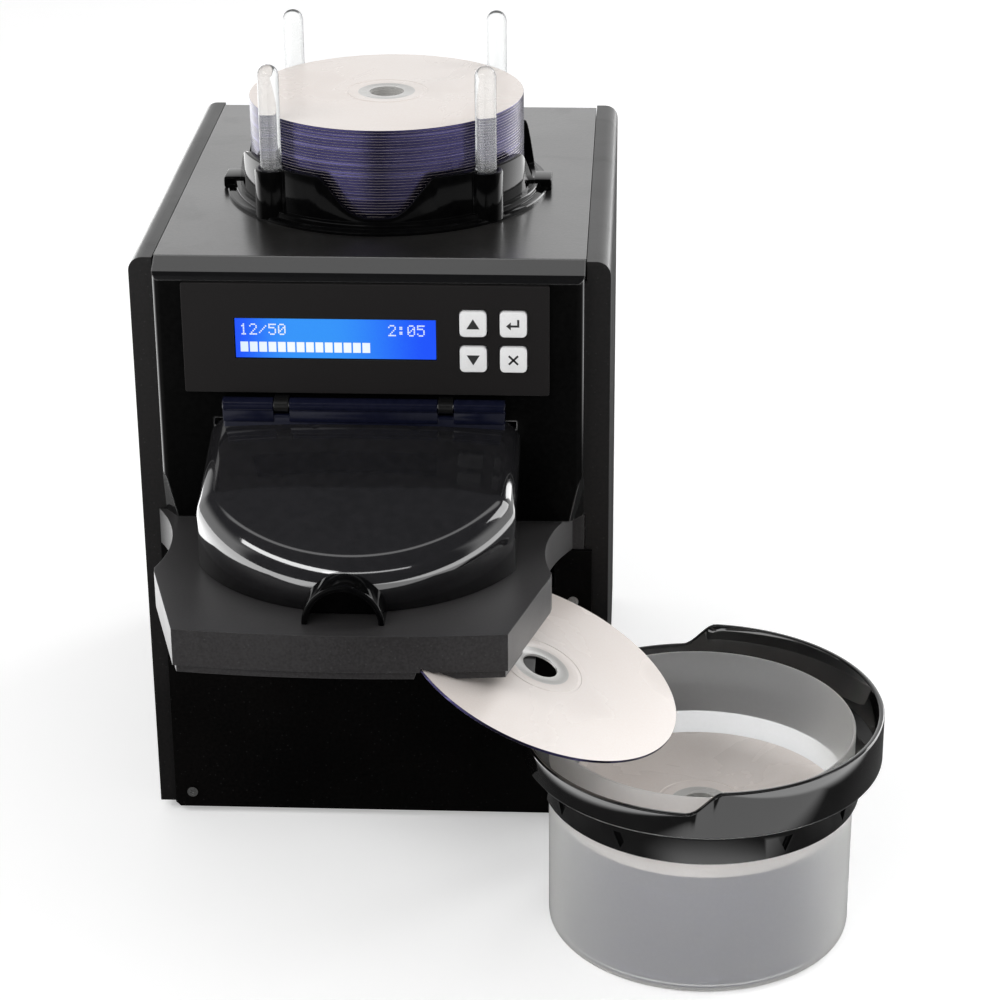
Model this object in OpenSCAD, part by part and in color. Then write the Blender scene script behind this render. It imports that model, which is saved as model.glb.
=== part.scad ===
// Automated disc duplicator. A hopper drops blank discs onto a ramp that leads to the tray of an optical
// drive behind a hinged cover. A finished disc is lifted off the tray, falls onto a chute under the shelf
// and slides into a free-standing bin.
// Sizes are millimetres. In the modules x = 0 is the middle of the case, y = 0 the front of the side
// panels and z = 0 the bottom edge of the case.

/* [Case] */
// Width over both side panels
case_w = 200; // [196:1:220]
// Height of the case
case_h = 260; // [256:1:280]
// Thickness of a side panel
side_t = 10; // [8:0.5:11]
// Skin left outside the pockets of a side panel
side_skin = 3; // [2:0.5:5]
// Rounding along the top outer edge of a side panel
side_round = 6; // [2:0.5:7]
// Height of a side panel's lower edge above the bottom of the case
side_lift = 2; // [0.5:0.5:4]
// Thickness of the folded sheet metal
sheet_t = 1.5; // [1:0.1:2]
// Height of a folded flange
flange_h = 12; // [8:1:16]
// Gap where two fixed pieces meet edge to edge
seam = 0.3; // [0.1:0.05:0.5]
// Distance of the rear panel from the rear edge of the side panels
rear_inset = 2.5; // [2:0.5:5]
// Height of a rubber foot
foot_h = 3; // [2:0.5:6]
// Radius of a rubber foot
foot_r = 8; // [5:0.5:10]

/* [Front] */
// How far the fascia stands in front of the side panels
fascia_proud = 8; // [7:0.5:10]
// Gap between the fascia and the side panels' inner faces
fascia_gap = 0.5; // [0.3:0.1:2]
// Wall of the moulded front pieces
mould_t = 2.5; // [2:0.1:3]
// Rounding of the fascia's upright edges
fascia_round = 3; // [2:0.5:4]
// Drop of the sloped lip along the top of the fascia
lip_drop = 5; // [3:0.5:7]
// How far the lip reaches back under the top plate's front edge
lip_back = 3; // [2:0.5:4]
// Height of the tapered facet at each lower corner of the fascia
facet_h = 32; // [20:1:40]
// Width of that facet at its foot
facet_w = 6.5; // [4:0.5:8]
// Distance of the lower front panel's edges from the case's sides
lower_reveal = 7; // [5:0.5:9]
// Radius of a front screw's head
screw_head_r = 2.4; // [2:0.1:3]
// Distance of the upper front screws below the shelf
screw_drop = 24; // [18:1:40]
// Height of the lower front screws
screw_lower_z = 8; // [7:0.5:12]
// Distance of the front screws from the lower panel's edges
screw_inset = 8; // [6:0.5:10]

/* [Display] */
// Width of the display overlay
overlay_w = 152; // [146:1:156]
// Height of the display overlay
overlay_h = 48; // [46:1:50]
// Thickness of the display overlay
overlay_t = 2; // [1:0.1:3]
// Distance of the overlay's upper edge below the top of the case
overlay_drop = 7.5; // [7:0.5:10]
// Width of the character display
lcd_w = 84; // [76:1:86]
// Height of the character display
lcd_h = 18; // [14:1:20]
// Place of the display's middle to the left of the case's middle
lcd_x = -13.5; // [-16:0.5:-10]
// Side of a square key
key_w = 11.2; // [9:0.1:12]
// Rounding of a key's corners
key_round = 2; // [1:0.1:3]
// Travel of a key
key_travel = 1; // [0.5:0.1:1.2]
// Clearance round a key in its hole
key_gap = 0.4; // [0.3:0.05:0.6]
// Place of the left row of keys
key_x = 43.6; // [42:0.2:45]
// Pitch of the keys across
key_pitch_x = 16.6; // [15:0.2:18]
// Pitch of the keys up
key_pitch_z = 15.5; // [14.5:0.1:17]

/* [Shelf and cover] */
// Shift of the cover and the drive from the middle of the case
front_x = -2.3; // [-3:0.1:-1.5]
// Shift of the shelf's outline from the middle of the case
shelf_x = -4; // [-4.5:0.5:-3]
// Distance of the shelf's top below the top of the case
ledge_drop = 114; // [112:1:118]
// Height of the shelf's edge
ledge_h = 16; // [12:0.5:18]
// Reach of the shelf in front of the side panels
ledge_reach = 118; // [116:1:125]
// Half width of the shelf at its side corners
ledge_half = 81.3; // [80:0.1:84]
// Distance of the side corners from the side panels' front
ledge_corner = 62; // [58:1:66]
// Angle of the front corners' chamfer
ledge_chamfer = 16; // [12:1:20]
// Bow of the shelf's front edge
ledge_bow = 4; // [2:0.5:6]
// Radius of the hollow in each side of the shelf
scoop_r = 70; // [60:1:80]
// Half width of the shelf between the hollows
scoop_half = 78.3; // [77:0.1:79]
// Distance of the hollows' middle from the side panels' front
scoop_y = 37; // [34:1:40]
// Radius of the cover's front
lid_r = 72; // [72:0.5:74]
// Half width of the cover
lid_half = 65.3; // [65:0.1:66.5]
// Distance of the cover's front from the side panels' front
lid_front = 97.6; // [97:0.2:100]
// Height of the cover's crown at its front, above the shelf
lid_front_h = 19; // [17:0.5:22]
// Slope of the cover's crown
lid_slope = 17; // [15:0.5:18]
// Rounding along the crown's edge
lid_edge = 9; // [7:0.5:11]
// Height of the hinge axis above the shelf
hinge_h = 54; // [53:0.5:56]
// Distance of the hinge axis in front of the fascia
hinge_off = 4; // [3.6:0.1:5]
// Radius of the hinge barrel
barrel_r = 3; // [2.5:0.1:3.4]
// Radius of the hinge pin
pin_r = 1.5; // [1:0.1:1.8]
// Half length of the barrel between the brackets
barrel_half = 31; // [26:1:34]
// Half width of the apron under the hinge
apron_half = 59; // [54:0.5:60]
// Width of a hinge bracket
bracket_w = 6; // [4:0.5:8]
// Radius of the half-round finger tab
tab_r = 16.5; // [14:0.5:18]
// Reach of the finger tab in front of the cover
tab_reach = 11; // [8:0.5:13]
// Web between the hollow of the finger tab and the cover's front
tab_web = 1; // [0.6:0.1:2]

/* [Discs and hopper] */
// Radius of a disc
disc_r = 60; // [60:0.1:60.1]
// Radius of a disc's centre hole
disc_hole_r = 7.5; // [7.4:0.05:7.6]
// Thickness of a disc
disc_t = 1.2; // [1.1:0.05:1.25]
// Pitch of stacked discs
disc_pitch = 1.22; // [1.21:0.01:1.3]
// Number of blank discs in the hopper
blank_count = 49; // [10:1:52]
// Number of finished discs in the bin
done_count = 42; // [5:1:60]
// Distance of the hopper's middle behind the side panels' front
hopper_y = 100; // [99:0.5:104]
// Running clearance round the stack of discs
disc_gap = 1.2; // [0.8:0.1:1.5]
// Wall of the hopper collar
collar_t = 4; // [3:0.5:5]
// Height of the collar's lobes above the top plate
collar_h = 22.5; // [20:0.5:30]
// Height of the collar's low stretches above the top plate
collar_low = 5.5; // [4:0.5:8]
// Half width of a low stretch between two lobes
collar_dip = 28; // [24:1:30]
// Radius of the hopper's flange
hopper_flange_r = 71; // [70:0.5:74]
// Thickness of the hopper's flange
hopper_flange_t = 1.6; // [1:0.1:2.5]
// Depth of the hopper's sleeve below the top plate
sleeve_d = 16; // [14:0.5:18]
// Radius of a guide rod
rod_r = 4.6; // [3.5:0.1:5]
// Height of the guide rods' tips above the top plate
rod_top = 67; // [50:1:80]
// Wall of the boss round a guide rod
rod_boss = 2.6; // [2:0.1:3.5]

/* [Dispenser] */
// Tooth module of the separator ring
ring_module = 1.5; // [1.4:0.05:1.55]
// Teeth of the separator ring
ring_teeth = 100; // [98:2:102]
// Teeth of the motor pinion
pinion_teeth = 14; // [12:2:16]
// Thickness of the separator ring
ring_t = 5.5; // [4:0.5:6]
// Reach of a separator blade under the discs
blade_reach = 3; // [2:0.5:5]
// Thickness of a separator blade
blade_t = 0.8; // [0.6:0.1:1]
// Thickness of the dispenser frame
frame_t = 3; // [2:0.5:4]
// Radius of the dispenser motor
motor_r = 14; // [10:0.5:16]
// Length of the dispenser motor
motor_len = 32; // [20:1:36]
// Slope of the feed ramp
ramp_slope = 22; // [20:0.5:23]

/* [Drive] */
// Width of the optical drive
drive_w = 146; // [144:1:150]
// Height of the optical drive
drive_h = 41.3; // [40:0.1:44]
// Length of the optical drive
drive_len = 170; // [165:1:180]
// Room between the drive and the rear panel
drive_room = 18; // [16:1:40]
// Distance of the loaded disc's middle behind the drive's front
drive_set = 66; // [64:0.5:68]
// Width of the tray
tray_w = 124; // [123:0.1:124.2]
// Thickness of the tray
tray_t = 6; // [5:0.5:7]
// Height of the tray above the shelf
tray_lift = 1.5; // [1:0.1:2.5]
// Place of a disc under the cover, in front of the side panels
drop_y = 30; // [29:0.5:31]
// Tooth module of the tray's rack
rack_module = 1; // [0.8:0.05:1.1]
// Teeth of the tray pinion
tray_teeth = 18; // [16:2:20]
// Radius of the spindle's hub
hub_r = 7.2; // [6.5:0.1:7.3]

/* [Exit] */
// Place of the finished disc's middle to the right of the case's middle
eject_x = 73.6; // [72:0.2:76]
// Place of the finished disc's middle in front of the side panels
eject_y = 80; // [78:0.5:84]
// Distance of the finished disc's middle below the shelf's top
eject_drop = 31.5; // [30:0.1:32.5]
// Tilt of the chute
chute_tilt = 22.5; // [21:0.1:23]
// Turn of the chute's downhill direction towards the front
chute_turn = 10.3; // [8:0.1:12]
// Tilt of the floor on which a disc is set down
release_tilt = 8; // [5:0.5:9]
// Thickness of the chute
chute_t = 2; // [1.5:0.1:2.5]
// Radius of the lift actuator
actuator_r = 13; // [12.5:0.5:15]
// Length of the lift actuator
actuator_len = 33; // [32:0.5:36]
// Radius of the lift spindle's shaft
lift_r = 4; // [3:0.1:5]
// Stroke of the lift spindle
lift_stroke = 29; // [26:0.5:30]

/* [Bin] */
// Place of the bin's middle to the right of the case's middle
bin_x = 140; // [138:1:160]
// Place of the bin's middle in front of the side panels
bin_y = 75; // [70:1:80]
// Outer radius of the tub
tub_r = 62.8; // [62.5:0.1:64]
// Wall of the tub
tub_t = 1.2; // [0.8:0.1:1.5]
// Distance of the tub's rim below the finished disc's middle
tub_drop = 26.5; // [26:0.5:36]
// Wall of the bin's collar
guard_t = 2.4; // [2:0.1:3]
// Outer radius of the collar's upper band
guard_r = 74; // [70:0.5:78]
// Distance of the collar's lower edge below the tub's rim
guard_drop = 29; // [24:1:34]
// Height of the collar's lower band
band_h = 12; // [8:1:16]
// Height of the cone between the collar's bands
guard_cone = 5; // [4:0.5:8]
// Height of the low rim's edge below the tub's rim
guard_low = 1.5; // [0.5:0.5:4]
// Height of the guard's edge above the tub's rim
guard_high = 8; // [4:0.5:14]

/* [Electronics] */
// Side of the cooling fan
fan_w = 60; // [50:1:70]
// Thickness of the cooling fan
fan_t = 15; // [10:1:15]
// Thickness of a circuit board
board_t = 1.6; // [1:0.1:2]
// Height of the main board above the base
board_lift = 10; // [8:0.5:14]
// Width of the power supply
supply_w = 61.7; // [55:0.1:65]
// Length of the power supply
supply_len = 130; // [110:1:140]
// Height of the power supply
supply_h = 42; // [36:1:50]
// Room between the power supply and the rear panel
supply_room = 26; // [22:1:34]
// Length of the main board
board_d = 150; // [130:1:160]
// Room between the main board and the rear panel
board_room = 34; // [28:1:40]
// Running clearance of a shaft in its bore
run_gap = 0.06; // [0.03:0.01:0.1]
// Clearance between pieces that move past each other
move_gap = 0.3; // [0.25:0.05:0.4]

/* [Hidden] */
$fn = 64;

// A little more than nothing, so that a cut passes right through
cut = 0.5;
drive_y = hopper_y - drive_set;
case_d = drive_y + drive_len + drive_room + sheet_t + rear_inset;
inner_w = case_w - 2 * side_t;
inner_half = inner_w / 2 - seam;
fascia_w = inner_w - 2 * fascia_gap;
rear_y = case_d - rear_inset - sheet_t;
top_under = case_h - sheet_t;
face_y = -fascia_proud;
face_back = face_y + mould_t;
lower_w = case_w - 2 * lower_reveal;
screw_x = lower_w / 2 - screw_inset;

ledge_z = case_h - ledge_drop;
eject_z = ledge_z - eject_drop;
tub_h = eject_z + foot_h - tub_drop;

// The origin stands on the table under the middle of the whole set
low_y = min(-bin_y - guard_r, -ledge_reach);
origin = [(case_w / 2 - bin_x - guard_r) / 2, -(low_y + case_d) / 2, foot_h];

overlay_top = case_h - overlay_drop;
overlay_z = overlay_top - overlay_h / 2;
overlay_x = -1;
key_z = [overlay_z + key_pitch_z / 2, overlay_z - key_pitch_z / 2];
key_lip = 1.2;
key_lip_t = 1;
key_front = face_y - overlay_t - 1.5;

ledge_low = ledge_z - ledge_h;
screw_upper_z = ledge_low - screw_drop;
opening_half = tray_w / 2 + 1.5;
opening_top = hinge_h - 8;
hinge_y = face_y - hinge_off;
hinge_z = ledge_z + hinge_h;
lid_low = ledge_z + move_gap;
lid_mid = lid_r - lid_front;
lid_back = face_y - move_gap;
tab_x = front_x - 0.7;
apron_top = hinge_z - barrel_r - 1;

stack_z = case_h - 17;
rod_ring = disc_r + rod_r + 0.3;
collar_r = disc_r + disc_gap;
rod_seat = hopper_flange_t + 0.6;
rod_fit = 0.02;
ring_r = ring_module * ring_teeth / 2;
pinion_r = ring_module * pinion_teeth / 2;
pinion_y = hopper_y + ring_r + pinion_r;
ring_top = stack_z - move_gap - blade_t;
ring_low = ring_top - ring_t;
frame_top = ring_low - move_gap;
frame_low = frame_top - frame_t;
race_r = ring_r - 9;

tray_z = ledge_z + tray_lift;
drive_z = tray_z - 19.5;
drive_top = drive_z + drive_h;
tray_travel = hopper_y + drop_y;
rack_x = front_x - 36;
rack_body = 3.5;
tray_pinion_r = rack_module * tray_teeth / 2;
tray_pinion_x = rack_x + tray_pinion_r + rack_module;
tray_pinion_y = drive_y + 26;
rail_z = tray_z - move_gap;
ramp_front = 12;
ramp_z = drive_top + 2;

drop_disc_r = disc_r + 2;
chute_gap = 0.3;
chute_flat = ledge_z - mould_t - 2;
chute_drop = disc_t / 2 + chute_gap;
chute_left = front_x - disc_r - 2;
release_z = chute_flat - (front_x - chute_left) * tan(release_tilt);
actuator_top = release_z - 7.8;

// Cut-out that lets a disc pass the lower front panel and the shelf's rear wall
relief_left = chute_left - 2;
relief_right = screw_x - 8;
relief_low = chute_z(relief_right, 0) - 6;

// Small fasteners, shafts and flanges
screw_r = screw_head_r * 0.6;
shaft_r = 1.5;
motor_boss_r = 4;
flange_t = 3;
flange_in = screw_x - 7;
lip_h = 8;
pan_y = 4;
rear_flange_t = 1.6;

// Places in the rear panel
fan_x = 45;
fan_gap = 2;
fan_z = drive_top + fan_gap + fan_w / 2;
inlet_x = -58;
inlet_z = 26;
inlet_w = 27;
inlet_h = 20;
switch_x = -22;
switch_w = 13;
switch_h = 19;
switch_wall = 1.2;
rocker_set = 3;
rocker_pin_r = 1.2;
rear_screw_x = inner_half - 6;
rear_screw_z = [flange_h / 2, case_h - flange_h / 2];

// Places of the boards and of what stands in the drive
board_edge = 4;
board_half = flange_in - board_edge;
board_post_x = board_half - board_edge;
board_y = 1;
lcd_board_w = lcd_w + 10;
lcd_board_h = lcd_h + 12;
frame_post_x = inner_half - 9;
frame_post_y = 68;
sled_rod_x = 20;
sled_low = drive_z + 4;
drive_floor = drive_z + 1;
supply_y = rear_y - supply_room - supply_len;
main_y = rear_y - board_room - board_d;
supply_left = -inner_half + 4;
board_left = supply_left + supply_w + 8;
board_w = inner_half - 5.7 - board_left;
board_hole = 5;
fan_pin_r = 2;
fan_bar_t = 2;
hub_pin_r = 1.2;
tub_floor = 1.8;

// Height of the chute's upper face at a point
function chute_z(x, y) = eject_z - chute_drop / cos(chute_tilt)
    - tan(chute_tilt) * (cos(chute_turn) * (x - eject_x) - sin(chute_turn) * (y + eject_y));

// Height of the feed ramp's upper face
function ramp_at(y) = ramp_z + (y - ramp_front) * tan(ramp_slope);

// Height of the cover's crown
function crown_at(y) = ledge_z + lid_front_h + (y + lid_front) * tan(lid_slope);

// Outline of a spur gear with straight-sided teeth
function gear_points(teeth, m) = [for (i = [0:teeth - 1])
    for (p = [[-0.30, -1.2], [-0.11, 0.9], [0.11, 0.9], [0.30, -1.2]])
        let (r = m * (teeth / 2 + p[1]), a = 360 / teeth * (i + p[0])) [r * cos(a), r * sin(a)]];

// Carries a piece from the case's frame to the part's frame
module placed() {
    translate(origin) children();
}

// A profile in Y and Z, extruded across the case
module across(width, mid = 0) {
    translate([mid - width / 2, 0, 0]) rotate([90, 0, 90]) linear_extrude(width) children();
}

// A profile in X and Z, extruded from y0 back to y1
module along(y0, y1) {
    translate([0, y1, 0]) rotate([90, 0, 0]) linear_extrude(y1 - y0) children();
}

// A box given by its lowest and highest corners
module block(low, high) {
    translate(low) cube(high - low);
}

module rounded(w, h, r) {
    square([w - 2 * r, h], center = true);
    square([w, h - 2 * r], center = true);
    for (x = [-1, 1], y = [-1, 1]) translate([x * (w / 2 - r), y * (h / 2 - r)]) circle(r);
}

module ring(r_out, r_in, h) {
    difference() {
        cylinder(r = r_out, h = h);
        translate([0, 0, -cut]) cylinder(r = r_in, h = h + 2 * cut);
    }
}

// One disc with its centre hole and stacking groove, lying on z = 0
module disc() {
    groove_r = 17;
    groove_w = 0.8;
    groove_d = 0.25;
    rotate_extrude() polygon([[disc_hole_r, 0], [disc_r, 0], [disc_r, disc_t], [groove_r + groove_w, disc_t],
        [groove_r + groove_w, disc_t - groove_d], [groove_r, disc_t - groove_d], [groove_r, disc_t],
        [disc_hole_r, disc_t]]);
}

module disc_stack(count) {
    for (i = [0:count - 1]) translate([0, 0, i * disc_pitch]) disc();
}

// Lays a piece on the chute's slope, with its middle at the finished disc's middle
module on_chute() {
    translate([eject_x, -eject_y, eject_z]) rotate([0, 0, -chute_turn]) rotate([0, chute_tilt, 0]) children();
}

module base_pan() {
    front_h = side_lift + 10;
    front_half = screw_x - 8;
    vent_len = 50;
    vent_w = 3;
    vent_pitch = 9;
    vent_x = 40;
    vent_y = 40;
    color("dimgray") difference() {
        union() {
            block([-inner_half, pan_y, 0], [inner_half, rear_y, sheet_t]);
            block([-front_half, 0, 0], [front_half, pan_y + cut, sheet_t]);
            block([-front_half, 0, 0], [front_half, sheet_t, front_h]);
            block([-inner_half, rear_y - sheet_t, 0], [inner_half, rear_y, flange_h]);
            for (s = [0, 1]) mirror([s, 0, 0])
                block([inner_half - sheet_t, pan_y, 0], [inner_half, rear_y, flange_h]);
        }
        for (i = [0:9]) translate([vent_x, vent_y + i * vent_pitch, -cut]) linear_extrude(sheet_t + 2 * cut)
            rounded(vent_len, vent_w, vent_w / 2 - 0.01);
    }
}

module rubber_feet() {
    inset = 18;
    color("black") for (x = [-1, 1], y = [inset, rear_y - inset])
        translate([x * (inner_half - inset), y, -foot_h]) rotate_extrude()
            polygon([[0, 0], [foot_r - 1, 0], [foot_r, 1], [foot_r, foot_h], [0, foot_h]]);
}

// The right side panel: a thick moulding with pockets in its inner face and a flange for the front pieces
module side_panel() {
    half = case_w / 2;
    rib = 6;
    rows = 3;
    bays = 4;
    bay_d = (case_d - rib * (bays + 1)) / bays;
    bay_h = (case_h - side_lift - rib - 2 * side_round - rib * (rows - 1)) / rows;
    difference() {
        union() {
            along(0, case_d) union() {
                translate([half - side_t, side_lift]) square([side_t, case_h - side_lift - side_round]);
                translate([half - side_t, side_lift]) square([side_t - side_round, case_h - side_lift]);
                intersection() {
                    translate([half - side_round, case_h - side_round]) circle(side_round);
                    translate([half - side_round, case_h - side_round]) square(side_round);
                }
            }
            block([flange_in, 0, side_lift], [half - side_t + cut, flange_t, ledge_low]);
            block([flange_in, 0, ledge_z], [half - side_t + cut, flange_t, case_h - lip_h - 1]);
        }
        for (i = [0:bays - 1], j = [0:rows - 1]) translate([half - side_t - cut,
            rib + i * (bay_d + rib), side_lift + rib + j * (bay_h + rib)])
            cube([side_t - side_skin + cut, bay_d, bay_h]);
        for (z = [screw_lower_z, screw_upper_z]) translate([screw_x, -cut, z]) rotate([-90, 0, 0])
            cylinder(r = screw_r, h = flange_t + 2 * cut);
    }
}

module right_side_panel() {
    color([0.07, 0.07, 0.07]) side_panel();
}

module left_side_panel() {
    color([0.07, 0.07, 0.07]) mirror([1, 0, 0]) side_panel();
}

module top_plate() {
    front = lip_back + seam;
    color([0.16, 0.16, 0.17]) difference() {
        union() {
            block([-inner_half, front, top_under], [inner_half, rear_y, case_h]);
            block([-inner_half, rear_y - sheet_t, case_h - flange_h], [inner_half, rear_y, case_h]);
            for (s = [-1, 1]) {
                x = s * (inner_half - sheet_t / 2);
                block([x - sheet_t / 2, front + 6, case_h - flange_h], [x + sheet_t / 2, rear_y, case_h]);
            }
        }
        translate([0, hopper_y, top_under - cut])
            cylinder(r = collar_r + collar_t + seam, h = sheet_t + 2 * cut);
    }
}

module rear_panel() {
    slot_w = 3;
    slot_h = 60;
    slot_pitch = 7;
    slot_x = -60;
    slot_z = 110;
    grille_w = 1.5;
    bar_w = 3;
    hole_r = 1.6;
    deep = sheet_t + 2 * cut;
    color([0.1, 0.1, 0.1]) difference() {
        block([-inner_half, rear_y, 0], [inner_half, rear_y + sheet_t, top_under - seam]);
        translate([fan_x, rear_y - cut, fan_z]) rotate([-90, 0, 0]) difference() {
            cylinder(r = fan_w / 2 - 2, h = deep);
            for (r = [8:8:24]) ring(r + grille_w, r, deep);
            for (a = [45, 135]) rotate(a) translate([-fan_w / 2, -bar_w / 2, 0]) cube([fan_w, bar_w, deep]);
        }
        for (i = [0:11]) translate([slot_x + i * slot_pitch, 0, slot_z])
            along(rear_y - cut, rear_y + sheet_t + cut) rounded(slot_w, slot_h, slot_w / 2 - 0.01);
        translate([inlet_x, 0, inlet_z]) along(rear_y - cut, rear_y + sheet_t + cut)
            square([inlet_w + 2 * seam, inlet_h + 2 * seam], center = true);
        translate([switch_x, 0, inlet_z]) along(rear_y - cut, rear_y + sheet_t + cut)
            square([switch_w + 2 * seam, switch_h + 2 * seam], center = true);
        for (x = [-1, 1], z = rear_screw_z) translate([x * rear_screw_x, rear_y - cut, z])
            rotate([-90, 0, 0]) cylinder(r = hole_r, h = deep);
    }
}

module rear_screws() {
    head_r = 2.6;
    color("silver") for (x = [-1, 1], z = rear_screw_z)
        translate([x * rear_screw_x, rear_y, z]) rotate([-90, 0, 0]) {
            cylinder(r = shaft_r, h = sheet_t + 0.2);
            translate([0, 0, sheet_t]) cylinder(r = head_r, h = rear_inset - 0.9);
        }
}

module lower_front_panel() {
    notch = 3;
    color([0.06, 0.06, 0.06]) difference() {
        block([-lower_w / 2, -sheet_t, 0], [lower_w / 2, 0, ledge_low - seam]);
        block([relief_left, -sheet_t - cut, relief_low], [relief_right, cut, ledge_low + cut]);
        for (x = [-1, 1], z = [screw_lower_z, screw_upper_z]) translate([x * screw_x, -sheet_t - cut, z])
            rotate([-90, 0, 0]) cylinder(r = screw_r + 0.1, h = sheet_t + 2 * cut);
        for (s = [-1, 1]) translate([s * lower_w / 2, -sheet_t / 2, 0]) rotate([0, 45, 0])
            cube([notch, sheet_t + 2 * cut, notch], center = true);
    }
}

module front_screws() {
    depth = 2;
    head_h = 1.4;
    socket_d = 0.6;
    color("silver") for (x = [-1, 1], z = [screw_lower_z, screw_upper_z]) translate([x * screw_x, 0, z])
        rotate([90, 0, 0]) difference() {
            union() {
                translate([0, 0, -depth]) cylinder(r = screw_r - 0.05, h = sheet_t + depth + 0.2);
                translate([0, 0, sheet_t]) cylinder(r = screw_head_r, h = head_h);
            }
            translate([0, 0, sheet_t + head_h - socket_d])
                cylinder(r = screw_head_r * 0.5, h = 2 * socket_d, $fn = 6);
        }
}

// Outer form of the fascia, drawn in by a wall's thickness for its inside
module fascia_form(inset) {
    width = fascia_w - 2 * inset;
    front = face_y + inset;
    top = case_h - inset * 0.6;
    back = lip_back;
    edge = fascia_round - inset * 0.9;
    intersection() {
        across(width) polygon([[front, ledge_z - inset], [front, top - lip_drop - 2],
            [front + 1, top - lip_drop - 0.6], [front + 2.8, top - lip_drop + 0.8], [back + inset, top],
            [back + inset, top - lip_h + 2], [inset, top - lip_h], [inset, ledge_z - inset]]);
        translate([0, 0, ledge_z - 2 * inset - cut]) linear_extrude(case_h) union() {
            translate([-width / 2 + edge, front]) square([width - 2 * edge, fascia_proud + 10]);
            translate([-width / 2, front + edge]) square([width, fascia_proud + 10]);
            for (s = [-1, 1]) translate([s * (width / 2 - edge), front + edge]) circle(edge);
        }
    }
}

// Wedge that tapers up the right lower corner of the fascia
module fascia_facet(shift) {
    half = fascia_w / 2 + cut;
    low = ledge_z - cut;
    side = facet_w + cut;
    deep = fascia_proud + cut;
    translate([-shift, shift, 0]) polyhedron([[half, face_y - cut, low], [half - side, face_y - cut, low],
        [half, face_y + deep, low], [half, face_y - cut, low + facet_h]],
        [[0, 1, 2], [0, 3, 1], [1, 3, 2], [2, 3, 0]]);
}

// Holes for the four keys, from y0 back to y1
module key_holes(y0, y1) {
    hole = key_w + 2 * key_gap;
    for (i = [0, 1], z = key_z) translate([key_x + i * key_pitch_x, 0, z]) along(y0, y1)
        rounded(hole, hole, key_round);
}

module front_fascia() {
    post_r = 3;
    post_z = overlay_h / 2 - 4;
    color([0.05, 0.05, 0.05]) difference() {
        union() {
            difference() {
                fascia_form(0);
                difference() {
                    fascia_form(mould_t);
                    for (s = [0, 1]) mirror([s, 0, 0]) fascia_facet(mould_t);
                }
                for (s = [0, 1]) mirror([s, 0, 0]) fascia_facet(0);
            }
            for (x = [-1, 1], z = [-1, 1])
                translate([x * board_post_x, face_back - cut, overlay_z + z * post_z])
                    rotate([-90, 0, 0]) cylinder(r = post_r, h = board_y - face_back + cut);
        }
        block([front_x - opening_half, face_y - cut, ledge_z - cut],
            [front_x + opening_half, cut, ledge_z + opening_top]);
        translate([lcd_x, 0, overlay_z]) along(face_y - cut, face_back + cut)
            square([lcd_w + 2 * seam, lcd_h + 2 * seam], center = true);
        key_holes(face_y - cut, face_back + cut);
    }
}

module display_overlay() {
    front = face_y - overlay_t;
    color([0.17, 0.17, 0.17]) difference() {
        translate([overlay_x, 0, overlay_z]) along(front, face_y) rounded(overlay_w, overlay_h, 1);
        translate([lcd_x, 0, overlay_z]) along(front - cut, face_y + cut)
            square([lcd_w, lcd_h], center = true);
        key_holes(front - cut, face_y + cut);
    }
}

module lcd_module() {
    glass_set = 0.8;
    hole_in = 3;
    hole_r = 1.3;
    color([0.1, 0.3, 0.9]) translate([lcd_x, 0, overlay_z]) {
        along(face_y - overlay_t + glass_set, face_back)
            square([lcd_w - 2 * seam, lcd_h - 2 * seam], center = true);
        difference() {
            along(face_back, face_back + board_t) square([lcd_board_w, lcd_board_h], center = true);
            for (x = [-1, 1], z = [-1, 1])
                translate([x * (lcd_board_w / 2 - hole_in), face_back - cut, z * (lcd_board_h / 2 - hole_in)])
                    rotate([-90, 0, 0]) cylinder(r = hole_r, h = board_t + 2 * cut);
        }
    }
}

module control_board() {
    back = board_y + board_t;
    color("darkgreen") {
        translate([0, 0, overlay_z]) along(board_y, back) rounded(2 * board_half, overlay_h - 2, 2);
        translate([-40, 0, overlay_z + 8]) along(back, back + 2) square([14, 14], center = true);
        translate([10, 0, overlay_z - 12]) along(back, back + 6) square([30, 8], center = true);
        translate([-6, 0, overlay_z + 12]) along(back, back + 3) square([8, 6], center = true);
    }
}

// Rubber mat with a dome behind each key
module key_mat() {
    margin = key_w / 2 + 1.8;
    thick = 1.4;
    dome_top = face_back + move_gap + key_lip_t + key_travel + 0.2;
    color("lightgray") {
        block([key_x - margin, board_y - thick, key_z[1] - margin],
            [key_x + key_pitch_x + margin, board_y, key_z[0] + margin]);
        for (i = [0, 1], z = key_z) translate([key_x + i * key_pitch_x, dome_top, z]) rotate([-90, 0, 0])
            cylinder(r1 = 2.5, r2 = 4, h = board_y - thick - dome_top + cut);
    }
}

// A key: rounded cap with a lip that stops behind the fascia
module key(column, row) {
    back = face_back + move_gap;
    crown = 0.4;
    face = key_w - 2 * crown;
    lip = key_w + 2 * key_lip;
    color("white") translate([key_x + column * key_pitch_x, 0, key_z[row]]) {
        along(key_front + crown, back + cut) rounded(key_w, key_w, key_round);
        along(key_front, key_front + crown) rounded(face, face, key_round - crown);
        along(back, back + key_lip_t) rounded(lip, lip, key_round);
    }
}

module up_key() {
    key(0, 0);
}

module down_key() {
    key(0, 1);
}

module enter_key() {
    key(1, 0);
}

module escape_key() {
    key(1, 1);
}

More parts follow.
